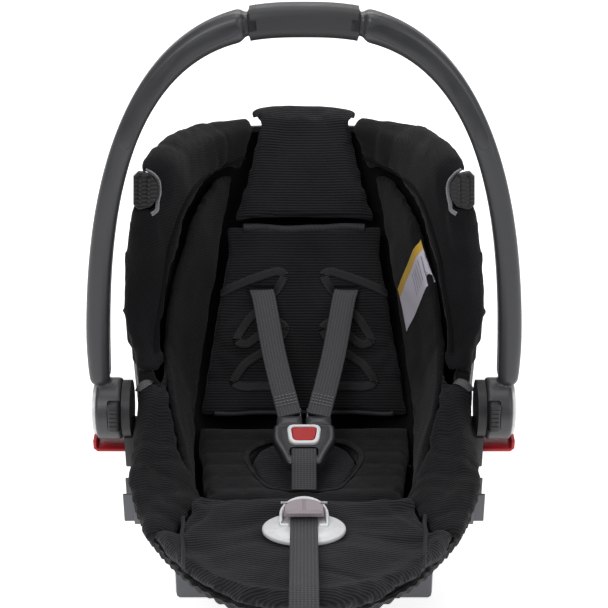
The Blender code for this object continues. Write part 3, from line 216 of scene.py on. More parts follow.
def printed_tape(name):
    """Woven satin label tape, off-white with a dyed band on one side and plain grey rules."""
    made, tree, shader, _ = new_finish(name, **{"Roughness": 0.5, "Sheen Weight": 0.2, "IOR": 1.5})
    across = add(tree, "ShaderNodeAttribute", attribute_name="across").outputs["Fac"]
    along = add(tree, "ShaderNodeAttribute", attribute_name="along").outputs["Fac"]
    tape = add(tree, "ShaderNodeCombineXYZ", links={"X": across, "Y": along}).outputs[0]
    rules = add(tree, "ShaderNodeTexWave", {"Scale": pitch(5.5 * MM)}, {"Vector": tape},
                bands_direction="Y").outputs["Fac"]
    lines = add(tree, "ShaderNodeMath", {1: 0.86}, {0: rules}, operation="GREATER_THAN").outputs[0]
    inner = add(tree, "ShaderNodeMath", {1: 0.011}, {0: across}, operation="GREATER_THAN").outputs[0]
    short = add(tree, "ShaderNodeMath", {1: 0.029}, {0: across}, operation="LESS_THAN").outputs[0]
    low = add(tree, "ShaderNodeMath", {1: 0.040}, {0: along}, operation="LESS_THAN").outputs[0]
    drawn = add(tree, "ShaderNodeMath", links={0: lines, 1: inner}, operation="MULTIPLY").outputs[0]
    drawn = add(tree, "ShaderNodeMath", links={0: drawn, 1: short}, operation="MULTIPLY").outputs[0]
    drawn = add(tree, "ShaderNodeMath", links={0: drawn, 1: low}, operation="MULTIPLY").outputs[0]
    ground = tone(tree, shader, drawn, "#cdc8d6", "#8d8a98")
    band = add(tree, "ShaderNodeMath", {1: 0.0075}, {0: across}, operation="LESS_THAN").outputs[0]
    final = add(tree, "ShaderNodeMix", {7: linear("#d2a93a")}, {0: band, 6: ground.outputs[2]},
                data_type="RGBA")
    tree.links.new(final.outputs[2], shader.inputs["Base Color"])
    weave = add(tree, "ShaderNodeTexNoise", {"Scale": 1 / (0.7 * MM)}, {"Vector": tape}).outputs["Fac"]
    relief(tree, shader, weave, 0.15 * MM, 0.5)
    return made


X_RIBS = (math.radians(50), 0, 0)     # ribs that run across the reclined back
FLAT_RIBS = (math.radians(90), 0, 0)   # ribs that run across the seat and the foot end

COVER = fabric("polyester_crepe_black", "#08080a", "#202023", 2.4 * MM, (0.6, 0.5, 0), rib_depth=0.2)
ARM = fabric("polyester_crepe_arm", "#09090b", "#232326", 3.2 * MM, FLAT_RIBS, rib_depth=0.6)
KNIT = fabric("rib_knit_black", "#09090b", "#28282b", 3.0 * MM, X_RIBS, rib_depth=0.8, sway=0.3)
HEAD_KNIT = fabric("rib_knit_head", "#0a0a0c", "#303034", 2.7 * MM, X_RIBS, rib_depth=0.9, sway=0.2)
FRONT_KNIT = fabric("rib_knit_foot", "#0a0a0c", "#2c2c30", 3.2 * MM, FLAT_RIBS, rib_depth=0.8, sway=0.3)
LINING = fabric("polyester_lining_dark", "#060607", "#141416", 2.0 * MM, (0.4, 0.2, 0), sheen=0.02)
SEAT_QUILT = fabric("quilted_jersey_black", "#09090b", "#27272a", 2.4 * MM, FLAT_RIBS, rib_depth=0.35)
DIAGONAL = fabric("diagonal_twill_black", "#0d0d0f", "#35353a", 3.4 * MM,
                  (math.radians(90), 0, math.radians(35)), rib_depth=0.9, sway=0.1)
HARNESS = webbing("harness_webbing_grey", "#2b2b2d", "#5d5d60", 2.0 * MM, 3.1 * MM)
GROSGRAIN = webbing("grosgrain_binding_black", "#0a0a0b", "#2b2b2f", 2.4 * MM, 9 * MM)
PIPING = webbing("piping_cord_black", "#131315", "#3c3c41", 2.2 * MM, 6 * MM)
FRAY = webbing("bound_edge_pale", "#55555a", "#b9b9be", 1.8 * MM, 5 * MM)
ELASTIC = webbing("elastic_band_pale", "#3c3c3e", "#77777a", 1.6 * MM, 3 * MM)
THREAD = webbing("lockstitch_thread_grey", "#6e6e72", "#9c9ca0", 1.0 * MM, 1.0 * MM)
HANDLE_ABS = moulded("abs_charcoal", "#2d2e30", "#3b3c3f", 0.40, coat=0.05)
GRIP_TPE = moulded("soft_touch_grip_black", "#1f2022", "#2a2b2d", 0.52, grain=0.7 * MM)
INLAY_PP = moulded("polypropylene_inlay", "#232426", "#2e2f32", 0.34)
SHELL_PP = moulded("polypropylene_shell_black", "#121315", "#1d1e21", 0.48, depth=0.12 * MM)
FOOT_PP = moulded("polypropylene_runner_grey", "#4d4f53", "#5d5f64", 0.45)
RIBBED_PP = moulded("polypropylene_guide_black", "#0c0c0e", "#18181b", 0.42, ribs=4.0 * MM)
RED_PP = moulded("polypropylene_red", "#98101a", "#b81824", 0.38)
RED_ABS = moulded("abs_button_red", "#a80408", "#b8080e", 0.45)
WHITE_ABS = moulded("abs_white", "#d2d3d6", "#e9eaec", 0.26, coat=0.25)
LEVER_POM = moulded("acetal_lever_mauve", "#857a80", "#a3979d", 0.42)
BUCKLE_ABS = moulded("abs_buckle_grey", "#26272a", "#35363a", 0.36, coat=0.08)
STEEL = plated("zinc_plated_steel")
FOAM = beaded("expanded_polypropylene_black")
LABEL = printed_tape("satin_label_tape")


# ---------------------------------------------------------------- shaping
def finished(name, bm, finish, body="seat", stands_for=(), crease=34, subdivide=0):
    """A piece from a shaped bmesh: welded, faces outwards, smooth up to an angle, riding a body."""
    bmesh.ops.remove_doubles(bm, verts=bm.verts, dist=1e-6)
    bmesh.ops.recalc_face_normals(bm, faces=bm.faces)
    for face in bm.faces:
        face.smooth = True
    limit = math.radians(crease)
    for edge in bm.edges:
        edge.smooth = len(edge.link_faces) != 2 or edge.calc_face_angle() < limit
    mesh = bpy.data.meshes.new(name)
    bm.to_mesh(mesh)
    bm.free()
    made = bpy.data.objects.new(name, mesh)
    bpy.context.scene.collection.objects.link(made)
    mesh.materials.append(finish)
    if subdivide:
        smooth = made.modifiers.new("smooth", "SUBSURF")
        smooth.levels = smooth.render_levels = subdivide
    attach(made, body)
    if stands_for:
        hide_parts(*stands_for)
    return made


def copy_of(*nodes):
    """A welded bmesh of CAD nodes."""
    bm = bmesh.new()
    for name in nodes:
        bm.from_mesh(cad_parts[name].data)
    bmesh.ops.remove_doubles(bm, verts=bm.verts, dist=1e-5)
    bmesh.ops.dissolve_degenerate(bm, edges=bm.edges, dist=1e-6)
    return bm


def applied(made):
    """The piece with its modifiers made real."""
    graph = bpy.context.evaluated_depsgraph_get()
    mesh = bpy.data.meshes.new_from_object(made.evaluated_get(graph))
    old = made.data
    made.modifiers.clear()
    made.data = mesh
    bpy.data.meshes.remove(old)
    return made


def scratch(bm, name="scratch"):
    mesh = bpy.data.meshes.new(name)
    bm.to_mesh(mesh)
    bm.free()
    made = bpy.data.objects.new(name, mesh)
    bpy.context.scene.collection.objects.link(made)
    return made


def taken(made):
    """A bmesh of a scratch piece, which is then gone."""
    bm = bmesh.new()
    bm.from_mesh(made.data)
    mesh = made.data
    bpy.data.objects.remove(made)
    bpy.data.meshes.remove(mesh)
    return bm


def remeshed(bm, voxel, rounds=2, keep=False):
    """One even skin over a rough form, drawn back onto it if asked, and relaxed a little."""
    source = BVHTree.FromBMesh(bm) if keep else None
    made = scratch(bm)
    even = made.modifiers.new("even", "REMESH")
    even.mode, even.voxel_size = "VOXEL", voxel
    bm = taken(applied(made))
    if source:
        for vert in bm.verts:
            near, _, _, away = source.find_nearest(vert.co)
            if away < voxel:
                vert.co = near
    for _ in range(rounds):
        bmesh.ops.smooth_vert(bm, verts=bm.verts, factor=0.5,
                              use_axis_x=True, use_axis_y=True, use_axis_z=True)
    return bm


def without(bm, *cutters, operation="DIFFERENCE", solver="EXACT"):
    """A form less, or joined with, others."""
    made = scratch(bm)
    others = [scratch(c, "cutter") for c in cutters]
    for other in others:
        joint = made.modifiers.new("cut", "BOOLEAN")
        joint.object, joint.operation, joint.solver = other, operation, solver
    bm = taken(applied(made))
    for other in others:
        taken(other).free()
    return bm


def plate(outline, low, high, rounding=0.0, segments=3, dome=0.0, steps=3, at=None):
    """A flat outline given thickness, with rounded edges and a crowned top."""
    bm = bmesh.new()
    face = bm.faces.new([bm.verts.new((x, y, low)) for x, y in outline])
    made = bmesh.ops.extrude_face_region(bm, geom=[face])["geom"]
    raised = [g for g in made if isinstance(g, bmesh.types.BMVert)]
    bmesh.ops.translate(bm, vec=(0, 0, high - low), verts=raised)
    bmesh.ops.recalc_face_normals(bm, faces=bm.faces)
    if rounding:
        ends = [e for e in bm.edges if abs(e.verts[0].co.z - e.verts[1].co.z) < 1e-7]
        bmesh.ops.bevel(bm, geom=ends, offset=rounding, segments=segments, profile=0.5,
                        affect="EDGES", material=-1, clamp_overlap=True)
    if dome:
        top = max(bm.faces, key=lambda f: f.calc_center_median().z * 1e3 + f.calc_area())
        middle = top.calc_center_median()
        was = 1.0
        for i in range(1, steps + 1):
            share = 1 - 0.86 * i / steps
            made = bmesh.ops.extrude_face_region(bm, geom=[top])["geom"]
            top = next(g for g in made if isinstance(g, bmesh.types.BMFace))
            bmesh.ops.scale(bm, vec=(share / was, share / was, 1), verts=top.verts,
                            space=Matrix.Translation(-middle))
            bmesh.ops.translate(bm, vec=(0, 0, dome * (was ** 2 - share ** 2)), verts=top.verts)
            was = share
    if at is not None:
        bmesh.ops.transform(bm, matrix=at, verts=bm.verts)
    return bm


def block(size, at, rounding=0.0, segments=2):
    bm = bmesh.new()
    bmesh.ops.create_cube(bm, size=1)
    bmesh.ops.scale(bm, vec=size, verts=bm.verts)
    if rounding:
        bmesh.ops.bevel(bm, geom=bm.edges[:], offset=rounding, segments=segments, profile=0.5,
                        affect="EDGES", material=-1)
    bmesh.ops.transform(bm, matrix=at, verts=bm.verts)
    return bm


def disc(radius, low, high, at, sides=64, rounding=0.0, top=None):
    """A round of a set height on its own +Z."""
    bm = bmesh.new()
    bmesh.ops.create_cone(bm, cap_ends=True, segments=sides, radius1=radius, radius2=top or radius,
                          depth=high - low)
    bmesh.ops.translate(bm, vec=(0, 0, (low + high) / 2), verts=bm.verts)
    if rounding:
        rims = [e for e in bm.edges if abs(e.verts[0].co.z - e.verts[1].co.z) < 1e-7]
        bmesh.ops.bevel(bm, geom=rims, offset=rounding, segments=3, profile=0.5, affect="EDGES", material=-1)
    bmesh.ops.transform(bm, matrix=at, verts=bm.verts)
    return bm


def joined(*parts):
    """Several forms in one bmesh, each a closed body of its own."""
    bm = bmesh.new()
    for part in parts:
        mesh = bpy.data.meshes.new("part")
        part.to_mesh(mesh)
        part.free()
        bm.from_mesh(mesh)
        bpy.data.meshes.remove(mesh)
    return bm


def smooth_line(points, per_span=6, closed=False):
    """A smooth curve through a few points."""
    points = [Vector(p) for p in points]
    n = len(points)
    found = []
    for i in range(n if closed else n - 1):
        p = [points[(i + k) % n] if closed else points[min(max(i + k, 0), n - 1)] for k in (-1, 0, 1, 2)]
        for k in range(per_span):
            t = k / per_span
            found.append(0.5 * (2 * p[1] + (p[2] - p[0]) * t + (2 * p[0] - 5 * p[1] + 4 * p[2] - p[3]) * t * t
                                + (3 * p[1] - p[0] - 3 * p[2] + p[3]) * t ** 3))
    return found if closed else found + [points[-1]]


def swept(path, section, ups=None, closed=False):
    """A section drawn along a path, with its own lengths kept as attributes for the weave."""
    bm = bmesh.new()
    along, across = bm.verts.layers.float.new("along"), bm.verts.layers.float.new("across")
    n = len(path)
    walked = 0.0
    face = first = None
    for i, point in enumerate(path):
        ahead = path[(i + 1) % n] if closed or i + 1 < n else point
        behind = path[i - 1] if closed or i else point
        run = (ahead - behind).normalized()
        up = ups[i] if isinstance(ups, list) else (ups or Vector((0, 0, 1)))
        side = run.cross(up)
        side = side.normalized() if side.length > 1e-6 else Vector((1, 0, 0))
        up = side.cross(run).normalized()
        ring = [point + side * a + up * b for a, b in section]
        if i:
            walked += (point - path[i - 1]).length
        if face is None:
            face = bm.faces.new([bm.verts.new(p) for p in ring])
            if closed:
                first = list(face.verts)
        else:
            made = bmesh.ops.extrude_face_region(bm, geom=[face])["geom"]
            face = next(g for g in made if isinstance(g, bmesh.types.BMFace))
            for vert, place in zip(face.verts, ring):
                vert.co = place
        for vert, (a, _) in zip(face.verts, section):
            vert[along], vert[across] = walked, a
    if closed:
        ends = [f for f in bm.faces if set(f.verts) in (set(first), set(face.verts))]
        bmesh.ops.bridge_loops(bm, edges=[e for f in ends for e in f.edges])
        bmesh.ops.delete(bm, geom=ends, context="FACES_ONLY")
    return bm


def flat_section(width, thickness):
    """A tape's section, with softened selvedges."""
    w, t, r = width / 2, thickness / 2, thickness * 0.35
    return [(-w, -t + r), (-w + r, -t), (-w / 3, -t), (w / 3, -t), (w - r, -t), (w, -t + r),
            (w, t - r), (w - r, t), (w / 3, t * 1.1), (-w / 3, t * 1.1), (-w + r, t), (-w, t - r)]


def round_section(radius, sides=10):
    return [(radius * math.cos(2 * math.pi * i / sides), radius * math.sin(2 * math.pi * i / sides))
            for i in range(sides)]


def mirrored_outline(half):
    return [(x, y) for x, y in half] + [(-x, y) for x, y in reversed(half)]


def oblong(x0, x1, y0, y1):
    return [(x1, y1), (x0, y1), (x0, y0), (x1, y0)]


def rounded_outline(corners, radius, steps=5):
    """An outline whose corners are arcs."""
    found = []
    n = len(corners)
    for i in range(n):
        here = Vector((corners[i][0], corners[i][1]))
        back = Vector((corners[i - 1][0], corners[i - 1][1]))
        on = Vector((corners[(i + 1) % n][0], corners[(i + 1) % n][1]))
        r = min(radius, (back - here).length * 0.48, (on - here).length * 0.48)
        a, b = here + (back - here).normalized() * r, here + (on - here).normalized() * r
        for k in range(steps + 1):
            t = k / steps
            found.append(tuple((1 - t) ** 2 * a + 2 * t * (1 - t) * here + t * t * b))
    return found


# ---------------------------------------------------------------- carry handle
def arch_point(size, angle, inset=0.0, slim=True):
    half, reach, power = size
    c, s = math.cos(angle), math.sin(angle)
    y = (reach - inset) * max(s, 0) ** (2 / power)
    x = (half - inset) * abs(c) ** (2 / power)
    if slim:
        x -= 0.007 * max(0.0, 1 - y / 0.090) ** 2
    return Vector((math.copysign(x, c), y, 0))


def arch_strip(low, high, steps, inset=0.0):
    """The arch's band in its own plane, from one angle to another, a row of faces at a time."""
    bm = bmesh.new()
    for i in range(steps + 1):
        angle = low + (high - low) * i / steps
        ends = arch_point(HANDLE_OUTER, angle, inset), arch_point(HANDLE_INNER, angle, -inset, False)
        if i == 0:
            edge = bm.edges.new([bm.verts.new(p) for p in ends])
        else:
            made = bmesh.ops.extrude_edge_only(bm, edges=[edge])["geom"]
            edge = next(g for g in made if isinstance(g, bmesh.types.BMEdge))
            for vert, place in zip(edge.verts, ends):
                vert.co = place
    return bm


def arch_bar(low, high, steps, depth, rounding, inset=0.0, segments=5):
    """A length of the arch with its full depth and rounded edges."""
    bm = arch_strip(low, high, steps, inset)
    made = bmesh.ops.extrude_face_region(bm, geom=bm.faces[:])["geom"]
    bmesh.ops.translate(bm, vec=(0, 0, depth), verts=[g for g in made if isinstance(g, bmesh.types.BMVert)])
    bmesh.ops.translate(bm, vec=(0, 0, -depth / 2), verts=bm.verts)
    bmesh.ops.recalc_face_normals(bm, faces=bm.faces)
    sharp = [e for e in bm.edges if len(e.link_faces) == 2 and e.calc_face_angle() > math.radians(50)]
    bmesh.ops.bevel(bm, geom=sharp, offset=rounding, segments=segments, profile=0.5,
                    affect="EDGES", material=-1)
    bmesh.ops.transform(bm, matrix=HANDLE, verts=bm.verts)
    return bm


def across_hub(side):
    """Turns a round's +Z to the hub's axis, pointing outwards."""
    return Matrix.Translation(PIVOT) @ Matrix.Rotation(math.pi / 2 * side, 4, "Y")


def make_handle():
    arms = [arch_bar(HANDLE_FOOT, math.pi / 2 - GRIP_ANGLE, 46, HANDLE_DEPTH, 0.0088),
            arch_bar(math.pi / 2 + GRIP_ANGLE, math.pi - HANDLE_FOOT, 46, HANDLE_DEPTH, 0.0088),
            arch_bar(math.pi / 2 - GRIP_ANGLE - 0.06, math.pi / 2 + GRIP_ANGLE + 0.06, 14,
                     HANDLE_DEPTH - 0.008, 0.006, 0.004)]
    hubs = []
    for name, side in SIDES:
        hubs.append(disc(HUB_RADIUS, HUB_LOW, HUB_HIGH, across_hub(side), rounding=0.003))
    rough = without(arms[0], arms[1], arms[2], *hubs, operation="UNION")
    form = remeshed(rough, 1.5 * MM, 3)
    cutters = []
    for name, side in SIDES:
        low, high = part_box(f"{name}_handle_button")
        middle = (low + high) / 2
        lean = Matrix.Rotation(-HANDLE_LEAN, 4, "X")
        cutters.append(block((0.0122, 0.030, 0.0312), Matrix.Translation(middle) @ lean, 0.002))
        # a fine groove round the hub, where its cap is let in
        ring = disc(0.0272, HUB_HIGH - 0.0012, HUB_HIGH + 0.003, across_hub(side))
        cutters.append(ring)
    form = without(form, *cutters, solver="MANIFOLD")
    finished("carry_handle", form, HANDLE_ABS, "handle", ["handle_arch"], crease=40)
    grip = arch_bar(math.pi / 2 - GRIP_ANGLE + 0.002, math.pi / 2 + GRIP_ANGLE - 0.002, 26,
                    HANDLE_DEPTH + 0.0016, 0.0095, -0.0004, 6)
    finished("carry_grip", grip, GRIP_TPE, "handle", ["handle_grip"], crease=60)
    for name, side in SIDES:
        make_inlay(name, side)
        make_hub(name, side)


def make_inlay(name, side):
    """A smooth insert let into the front of the arm, with round ends."""
    steps = 40
    rows = []
    for i in range(steps + 1):
        t = i / steps
        angle = INLAY_SPAN[0] + (INLAY_SPAN[1] - INLAY_SPAN[0]) * t
        outer, inner = arch_point(HANDLE_OUTER, angle), arch_point(HANDLE_INNER, angle, 0, False)
        if side < 0:
            outer.x, inner.x = -outer.x, -inner.x
        middle = outer.lerp(inner, 0.5)
        rows.append((middle, (outer - inner).normalized()))
    low_end, high_end = [], []
    for i, (middle, across) in enumerate(rows):
        t = i / steps
        end = min(t, 1 - t, INLAY_END) / INLAY_END
        width = max(INLAY_HALF * math.sqrt(1 - (1 - end) ** 2), INLAY_TIP)
        low_end.append((middle - across * width).to_2d())
        high_end.append((middle + across * width).to_2d())
    outline = [tuple(p) for p in low_end + high_end[::-1]]
    form = plate(outline, HANDLE_DEPTH / 2 - 0.0016, HANDLE_DEPTH / 2 + 0.0006, 0.0005, 2, at=HANDLE)
    finished(f"{name}_inlay", form, INLAY_PP, "handle", [f"{name}_handle_inlay"], crease=50)


def make_hub(name, side):
    at = across_hub(side)
    cap = disc(0.0262, HUB_HIGH - 0.001, HUB_HIGH + 0.0032, at, rounding=0.0010)
    groove = disc(0.0205, HUB_HIGH + 0.0024, HUB_HIGH + 0.006, at)
    core = disc(0.0190, HUB_HIGH - 0.0006, HUB_HIGH + 0.0031, at, rounding=0.0008)
    cap = joined(without(cap, groove), core)
    finished(f"{name}_hub_disc", cap, WHITE_ABS, "handle", [f"{name}_hub_cap"])
    low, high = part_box(f"{name}_handle_button")
    middle = (low + high) / 2
    lean = Matrix.Translation(middle) @ Matrix.Rotation(-HANDLE_LEAN, 4, "X")
    parts = [block((0.0108, 0.0140, 0.0298), lean, 0.0022, 3)]
    for k in range(5):
        rib = Matrix.Translation((0, -0.0070, -0.0088 + 0.0044 * k))
        parts.append(block((0.0078, 0.0022, 0.0014), lean @ rib, 0.0005))
    finished(f"{name}_release_button", joined(*parts), GRIP_TPE, f"{name}_button",
             [f"{name}_handle_button"], crease=50)


make_handle()


# ---------------------------------------------------------------- padded cover
def swell(cushions):
    """Fills the sewn covers: each is blown up as cloth, no further than its own cap."""
    rest = {made: [v.co.copy() for v in made.data.vertices] for made, _ in cushions}
    scene = bpy.context.scene
    for made, _ in cushions:
        cloth = made.modifiers.new("cloth", "CLOTH")
        cloth.settings.quality = 4
        cloth.settings.mass = 0.3
        cloth.settings.tension_stiffness = cloth.settings.compression_stiffness = 12
        cloth.settings.bending_stiffness = 0.6
        cloth.settings.use_pressure = True
        cloth.settings.uniform_pressure_force = 4
        cloth.settings.shrink_min = -0.03
        cloth.settings.effector_weights.gravity = 0
        cloth.collision_settings.use_collision = False
        cloth.point_cache.frame_start, cloth.point_cache.frame_end = 1, 20
    for step in range(1, 21):
        scene.frame_set(step)
    graph = bpy.context.evaluated_depsgraph_get()
    moved = {made: [v.co.copy() for v in made.evaluated_get(graph).data.vertices] for made, _ in cushions}
    scene.frame_set(1)
    for made, cap in cushions:
        made.modifiers.clear()
        for vert, was, now in zip(made.data.vertices, rest[made], moved[made]):
            step = now - was
            vert.co = was + step.normalized() * min(step.length, cap) if step.length else was


def dented(made, *moves):
    """Moves each point along its normal by the sum of the given shapes."""
    made.data.update()
    normals = [v.normal.copy() for v in made.data.vertices]
    places = [v.co.copy() for v in made.data.vertices]
    for vert, place, out in zip(made.data.vertices, places, normals):
        vert.co = place + out * sum(move(place, out) for move in moves)


def crease(a, b, width, depth):
    """A sewn or pulled line from a to b, in millimetres, as deep and wide as given."""
    a, b = Vector(a) * MM, Vector(b) * MM
    run = b - a
    size = run.length_squared

    def move(place, out):
        t = min(max((place - a).dot(run) / size, 0), 1)
        away = (place - a - run * t).length / width
        return -depth * math.exp(-away * away) * (1 - 0.5 * t) if away < 3 else 0
    return move


def seam_line(points, width, depth):
    """A sewn line through points, in millimetres: a groove with puffed banks."""
    line = [Vector(p) * MM for p in points]

    def move(place, out):
        near = 1.0
        for a, b in zip(line, line[1:]):
            run = b - a
            t = min(max((place - a).dot(run) / run.length_squared, 0), 1)
            near = min(near, (place - a - run * t).length / width)
        return depth * (-math.exp(-near * near) + 0.35 * math.exp(-(near - 2.2) ** 2)) if near < 5 else 0
    return move


def rumple(size, amount, seed):
    """Slack in the cloth, in soft folds of a set size."""
    def move(place, out):
        return amount * noise.noise(place / size + Vector((seed, seed * 0.7, 0)))
    return move


def folds(size, amount, seed, stretch):
    """Folds drawn out along one direction."""
    def move(place, out):
        p = Vector((place.x * stretch[0], place.y * stretch[1], place.z * stretch[2])) / size
        value = noise.noise(p + Vector((seed, 0, seed)))
        return -amount * max(0.0, 1 - abs(value) * 5)
    return move


def quilt(place, out):
    """Stitched squares over the seat, 24 mm apart, their lines sunk between puffed middles."""
    if out.z < 0.5:
        return 0
    a = abs(math.sin(math.pi * (place.x + 0.012) / 0.024))
    b = abs(math.sin(math.pi * (place.y + 0.006) / 0.024))
    return 0.0022 * (min(a, b) ** 0.45 - 0.75)


def mirrored(points, side):
    return [(x * side, y, z) for x, y, z in points]


WING_SEAM = [(-84, 262, 338), (-95, 238, 344), (-117, 145, 366), (-134, 112, 337), (-146, 85, 282), (-146, 50, 232)]
CORNER_SEAM = [(-114, -130, 161), (-111, -175, 168), (-105, -225, 174)]
CUSHIONS = [
    # piece, CAD node, finish, slot, voxel, swell cap, shapes
    ("left_wing_bolster", "left_wing_pad", COVER, "cover_fabric", 4.6, 3.4,
     [rumple(0.045, 0.0022, 2.0), folds(0.05, 0.0016, 4.0, (1, 1, 0.45))]),
    ("right_wing_bolster", "right_wing_pad", COVER, "cover_fabric", 4.6, 3.4,
     [rumple(0.045, 0.0022, 7.0), folds(0.05, 0.0016, 9.0, (1, 1, 0.45))]),
    ("left_arm_bolster", "left_arm_pad", ARM, "cover_fabric", 4.4, 4.0,
     [rumple(0.035, 0.0022, 3.0), folds(0.034, 0.0020, 5.0, (0.5, 1.3, 0.6))]),
    ("right_arm_bolster", "right_arm_pad", ARM, "cover_fabric", 4.4, 4.0,
     [rumple(0.035, 0.0022, 8.0), folds(0.034, 0.0020, 6.0, (0.5, 1.3, 0.6))]),
    ("foot_bolster", "front_bolster", FRONT_KNIT, "cover_fabric", 4.8, 4.6,
     [rumple(0.06, 0.0030, 1.0), folds(0.055, 0.0026, 12.0, (0.55, 1.2, 1.0)),
      crease((0, -150, 172), (-62, -165, 172), 0.011, 0.0050), crease((0, -150, 172), (62, -165, 172), 0.011, 0.0050),
      crease((-38, -190, 178), (-112, -196, 170), 0.010, 0.0030),
      crease((38, -190, 178), (112, -192, 170), 0.010, 0.0030)]),
    ("head_cushion", "head_panel", HEAD_KNIT, "knit_fabric", 4.4, 3.6,
     [rumple(0.04, 0.0012, 14.0), seam_line([(-60, 222, 287), (0, 224, 291), (60, 222, 287)], 0.004, 0.0032)]),
    ("back_cushion", "back_pad", KNIT, "cover_fabric", 3.6, 2.8,
     [rumple(0.04, 0.0018, 21.0)]
     + [crease((s * 106, 144, 186), (s * end[0], end[1], end[2]), 0.0062, 0.0044) for s in (1, -1)
        for end in ((62, 170, 216), (70, 152, 193), (66, 136, 170), (82, 122, 154))]
     + [crease((s * 100, 120, 150), (s * 60, 118, 146), 0.006, 0.0030) for s in (1, -1)]),
    ("seat_cushion", "seat_pad", SEAT_QUILT, "cover_fabric", 3.6, 2.8, [quilt, rumple(0.05, 0.0014, 31.0)]),
    ("crotch_cushion", "crotch_pad", DIAGONAL, "cover_fabric", 3.6, 2.6, [rumple(0.03, 0.0010, 41.0)]),
    ("left_side_lining_cloth", "left_side_lining", COVER, "cover_fabric", 3.6, 1.8,
     [rumple(0.03, 0.0016, 51.0)]),
    ("right_side_lining_cloth", "right_side_lining", COVER, "cover_fabric", 3.6, 1.8,
     [rumple(0.03, 0.0016, 55.0)]),
]


def grow_head(bm):
    """The head cushion is stuffed out sideways and over the top until it meets the wings."""
    foot = 0.222
    for vert in bm.verts:
        rise = min(max((vert.co.y - foot) / 0.08, 0), 1)
        vert.co.x *= 1.13 - 0.07 * rise ** 2
        vert.co.z += rise * (0.013 - 0.011 * min(abs(vert.co.x) / 0.072, 1.2) ** 4)


def grow_wing(bm):
    """The wings reach in to the head cushion at the head end."""
    for vert in bm.verts:
        near = min(max((vert.co.y - 0.215) / 0.05, 0), 1)
        vert.co.x -= math.copysign(0.009 * near, vert.co.x)


def meet_corners(bm, foot):
    """The foot bolster and the arms grow towards each other until their seam closes."""
    for vert in bm.verts:
        if foot:
            vert.co.x *= 1.035
        else:
            vert.co.y -= 0.009 * min(max((-0.08 - vert.co.y) / 0.06, 0), 1)


def meet_fold(bm, way):
    """The seat and back cushions are pressed together where the bucket folds."""
    for vert in bm.verts:
        near = min(max(1 - abs(vert.co.y - 0.088) / 0.035, 0), 1)
        vert.co.y += way * 0.006 * near
        vert.co.z += (0.004 if way > 0 else -0.006) * near


def make_cushions():
    made = []
    for name, cad, finish, slot, voxel, cap, moves in CUSHIONS:
        form = remeshed(copy_of(cad), voxel * MM, 2, True)
        if cad == "head_panel":
            grow_head(form)
        elif "wing" in cad:
            grow_wing(form)
        elif cad == "front_bolster" or "arm" in cad:
            meet_corners(form, cad == "front_bolster")
        elif cad in ("seat_pad", "back_pad"):
            meet_fold(form, 1 if cad == "seat_pad" else -1)
        cushion = finished(name, form, finish, "seat", [cad], crease=180)
        made.append((cushion, cap * MM, moves))
    swell([(cushion, cap) for cushion, cap, _ in made])
    for cushion, _, moves in made:
        dented(cushion, *moves)
        smooth = cushion.modifiers.new("smooth", "SUBSURF")
        smooth.levels = smooth.render_levels = 1
    return {cushion.name: cushion for cushion, _, _ in made}


cushions = make_cushions()


def surface_of(names):
    """A search tree over the shown surfaces of some cushions."""
    graph = bpy.context.evaluated_depsgraph_get()
    points, faces = [], []
    for name in names:
        mesh = bpy.data.objects[name].evaluated_get(graph).data
        first = len(points)
        points += [v.co.copy() for v in mesh.vertices]
        faces += [[first + i for i in p.vertices] for p in mesh.polygons]
    return BVHTree.FromPolygons(points, faces)


FROM_FRONT = Vector((0, -0.9, 1.0))     # the way most trims are pressed down


def laid_on(tree, points, lift, above=FROM_FRONT):
    """Points brought down onto a surface from above it, and the surface's normals there."""
    found, ups = [], []
    towards = above.normalized()
    for point in points:
        hit, out, _, _ = tree.ray_cast(point + towards * 0.06, -towards, 0.12)
        if hit is None:
            hit, out, _, _ = tree.find_nearest(point)
        found.append(hit + out * lift)
        ups.append(out.copy())
    for _ in range(2):      # the tape bridges small hollows
        found = [found[0]] + [(a + 2 * b + c) / 4 for a, b, c in zip(found, found[1:], found[2:])] + [found[-1]]
        ups = [ups[0]] + [(a + 2 * b + c).normalized() for a, b, c in zip(ups, ups[1:], ups[2:])] + [ups[-1]]
    return found, ups


def back_height(y):
    for (y0, z0), (y1, z1) in zip(BACK_LINE, BACK_LINE[1:]):
        if y <= y1:
            break
    return z0 + (z1 - z0) * (y - y0) / (y1 - y0)


ALL_PADS = list(cushions)
BACK_TREE = surface_of(["back_cushion"])
COVER_TREE = surface_of(ALL_PADS)
SEAT_TREE = surface_of(["seat_cushion", "crotch_cushion"])


def trim(name, points, section, finish, lift, tree=COVER_TREE, per_span=6, closed=False, above=FROM_FRONT):
    """A band or cord sewn along a line on the cover."""
    path, ups = laid_on(tree, smooth_line([Vector(p) * MM for p in points], per_span, closed), lift, above)
    finished(name, swept(path, section, ups, closed), finish, "seat", crease=60)


def rounded_path(points, radius, closed=False, steps=6):
    """A line through corners, in millimetres, each turned in a short bend."""
    points = [Vector(p) for p in points]
    n = len(points)
    found = [] if closed else [points[0]]
    for i in range(n) if closed else range(1, n - 1):
        back, here, on = points[i - 1], points[i], points[(i + 1) % n]
        a = here + (back - here).normalized() * min(radius, (back - here).length * 0.45)
        b = here + (on - here).normalized() * min(radius, (on - here).length * 0.45)
        gap = (a - found[-1]).length if found else 0
        found += [found[-1].lerp(a, k / max(1, int(gap / 4))) for k in range(1, int(gap / 4))] if gap > 8 else []
        found += [a.lerp(here, k / steps).lerp(here.lerp(b, k / steps), k / steps) for k in range(steps + 1)]
    return found if closed else found + [points[-1]]


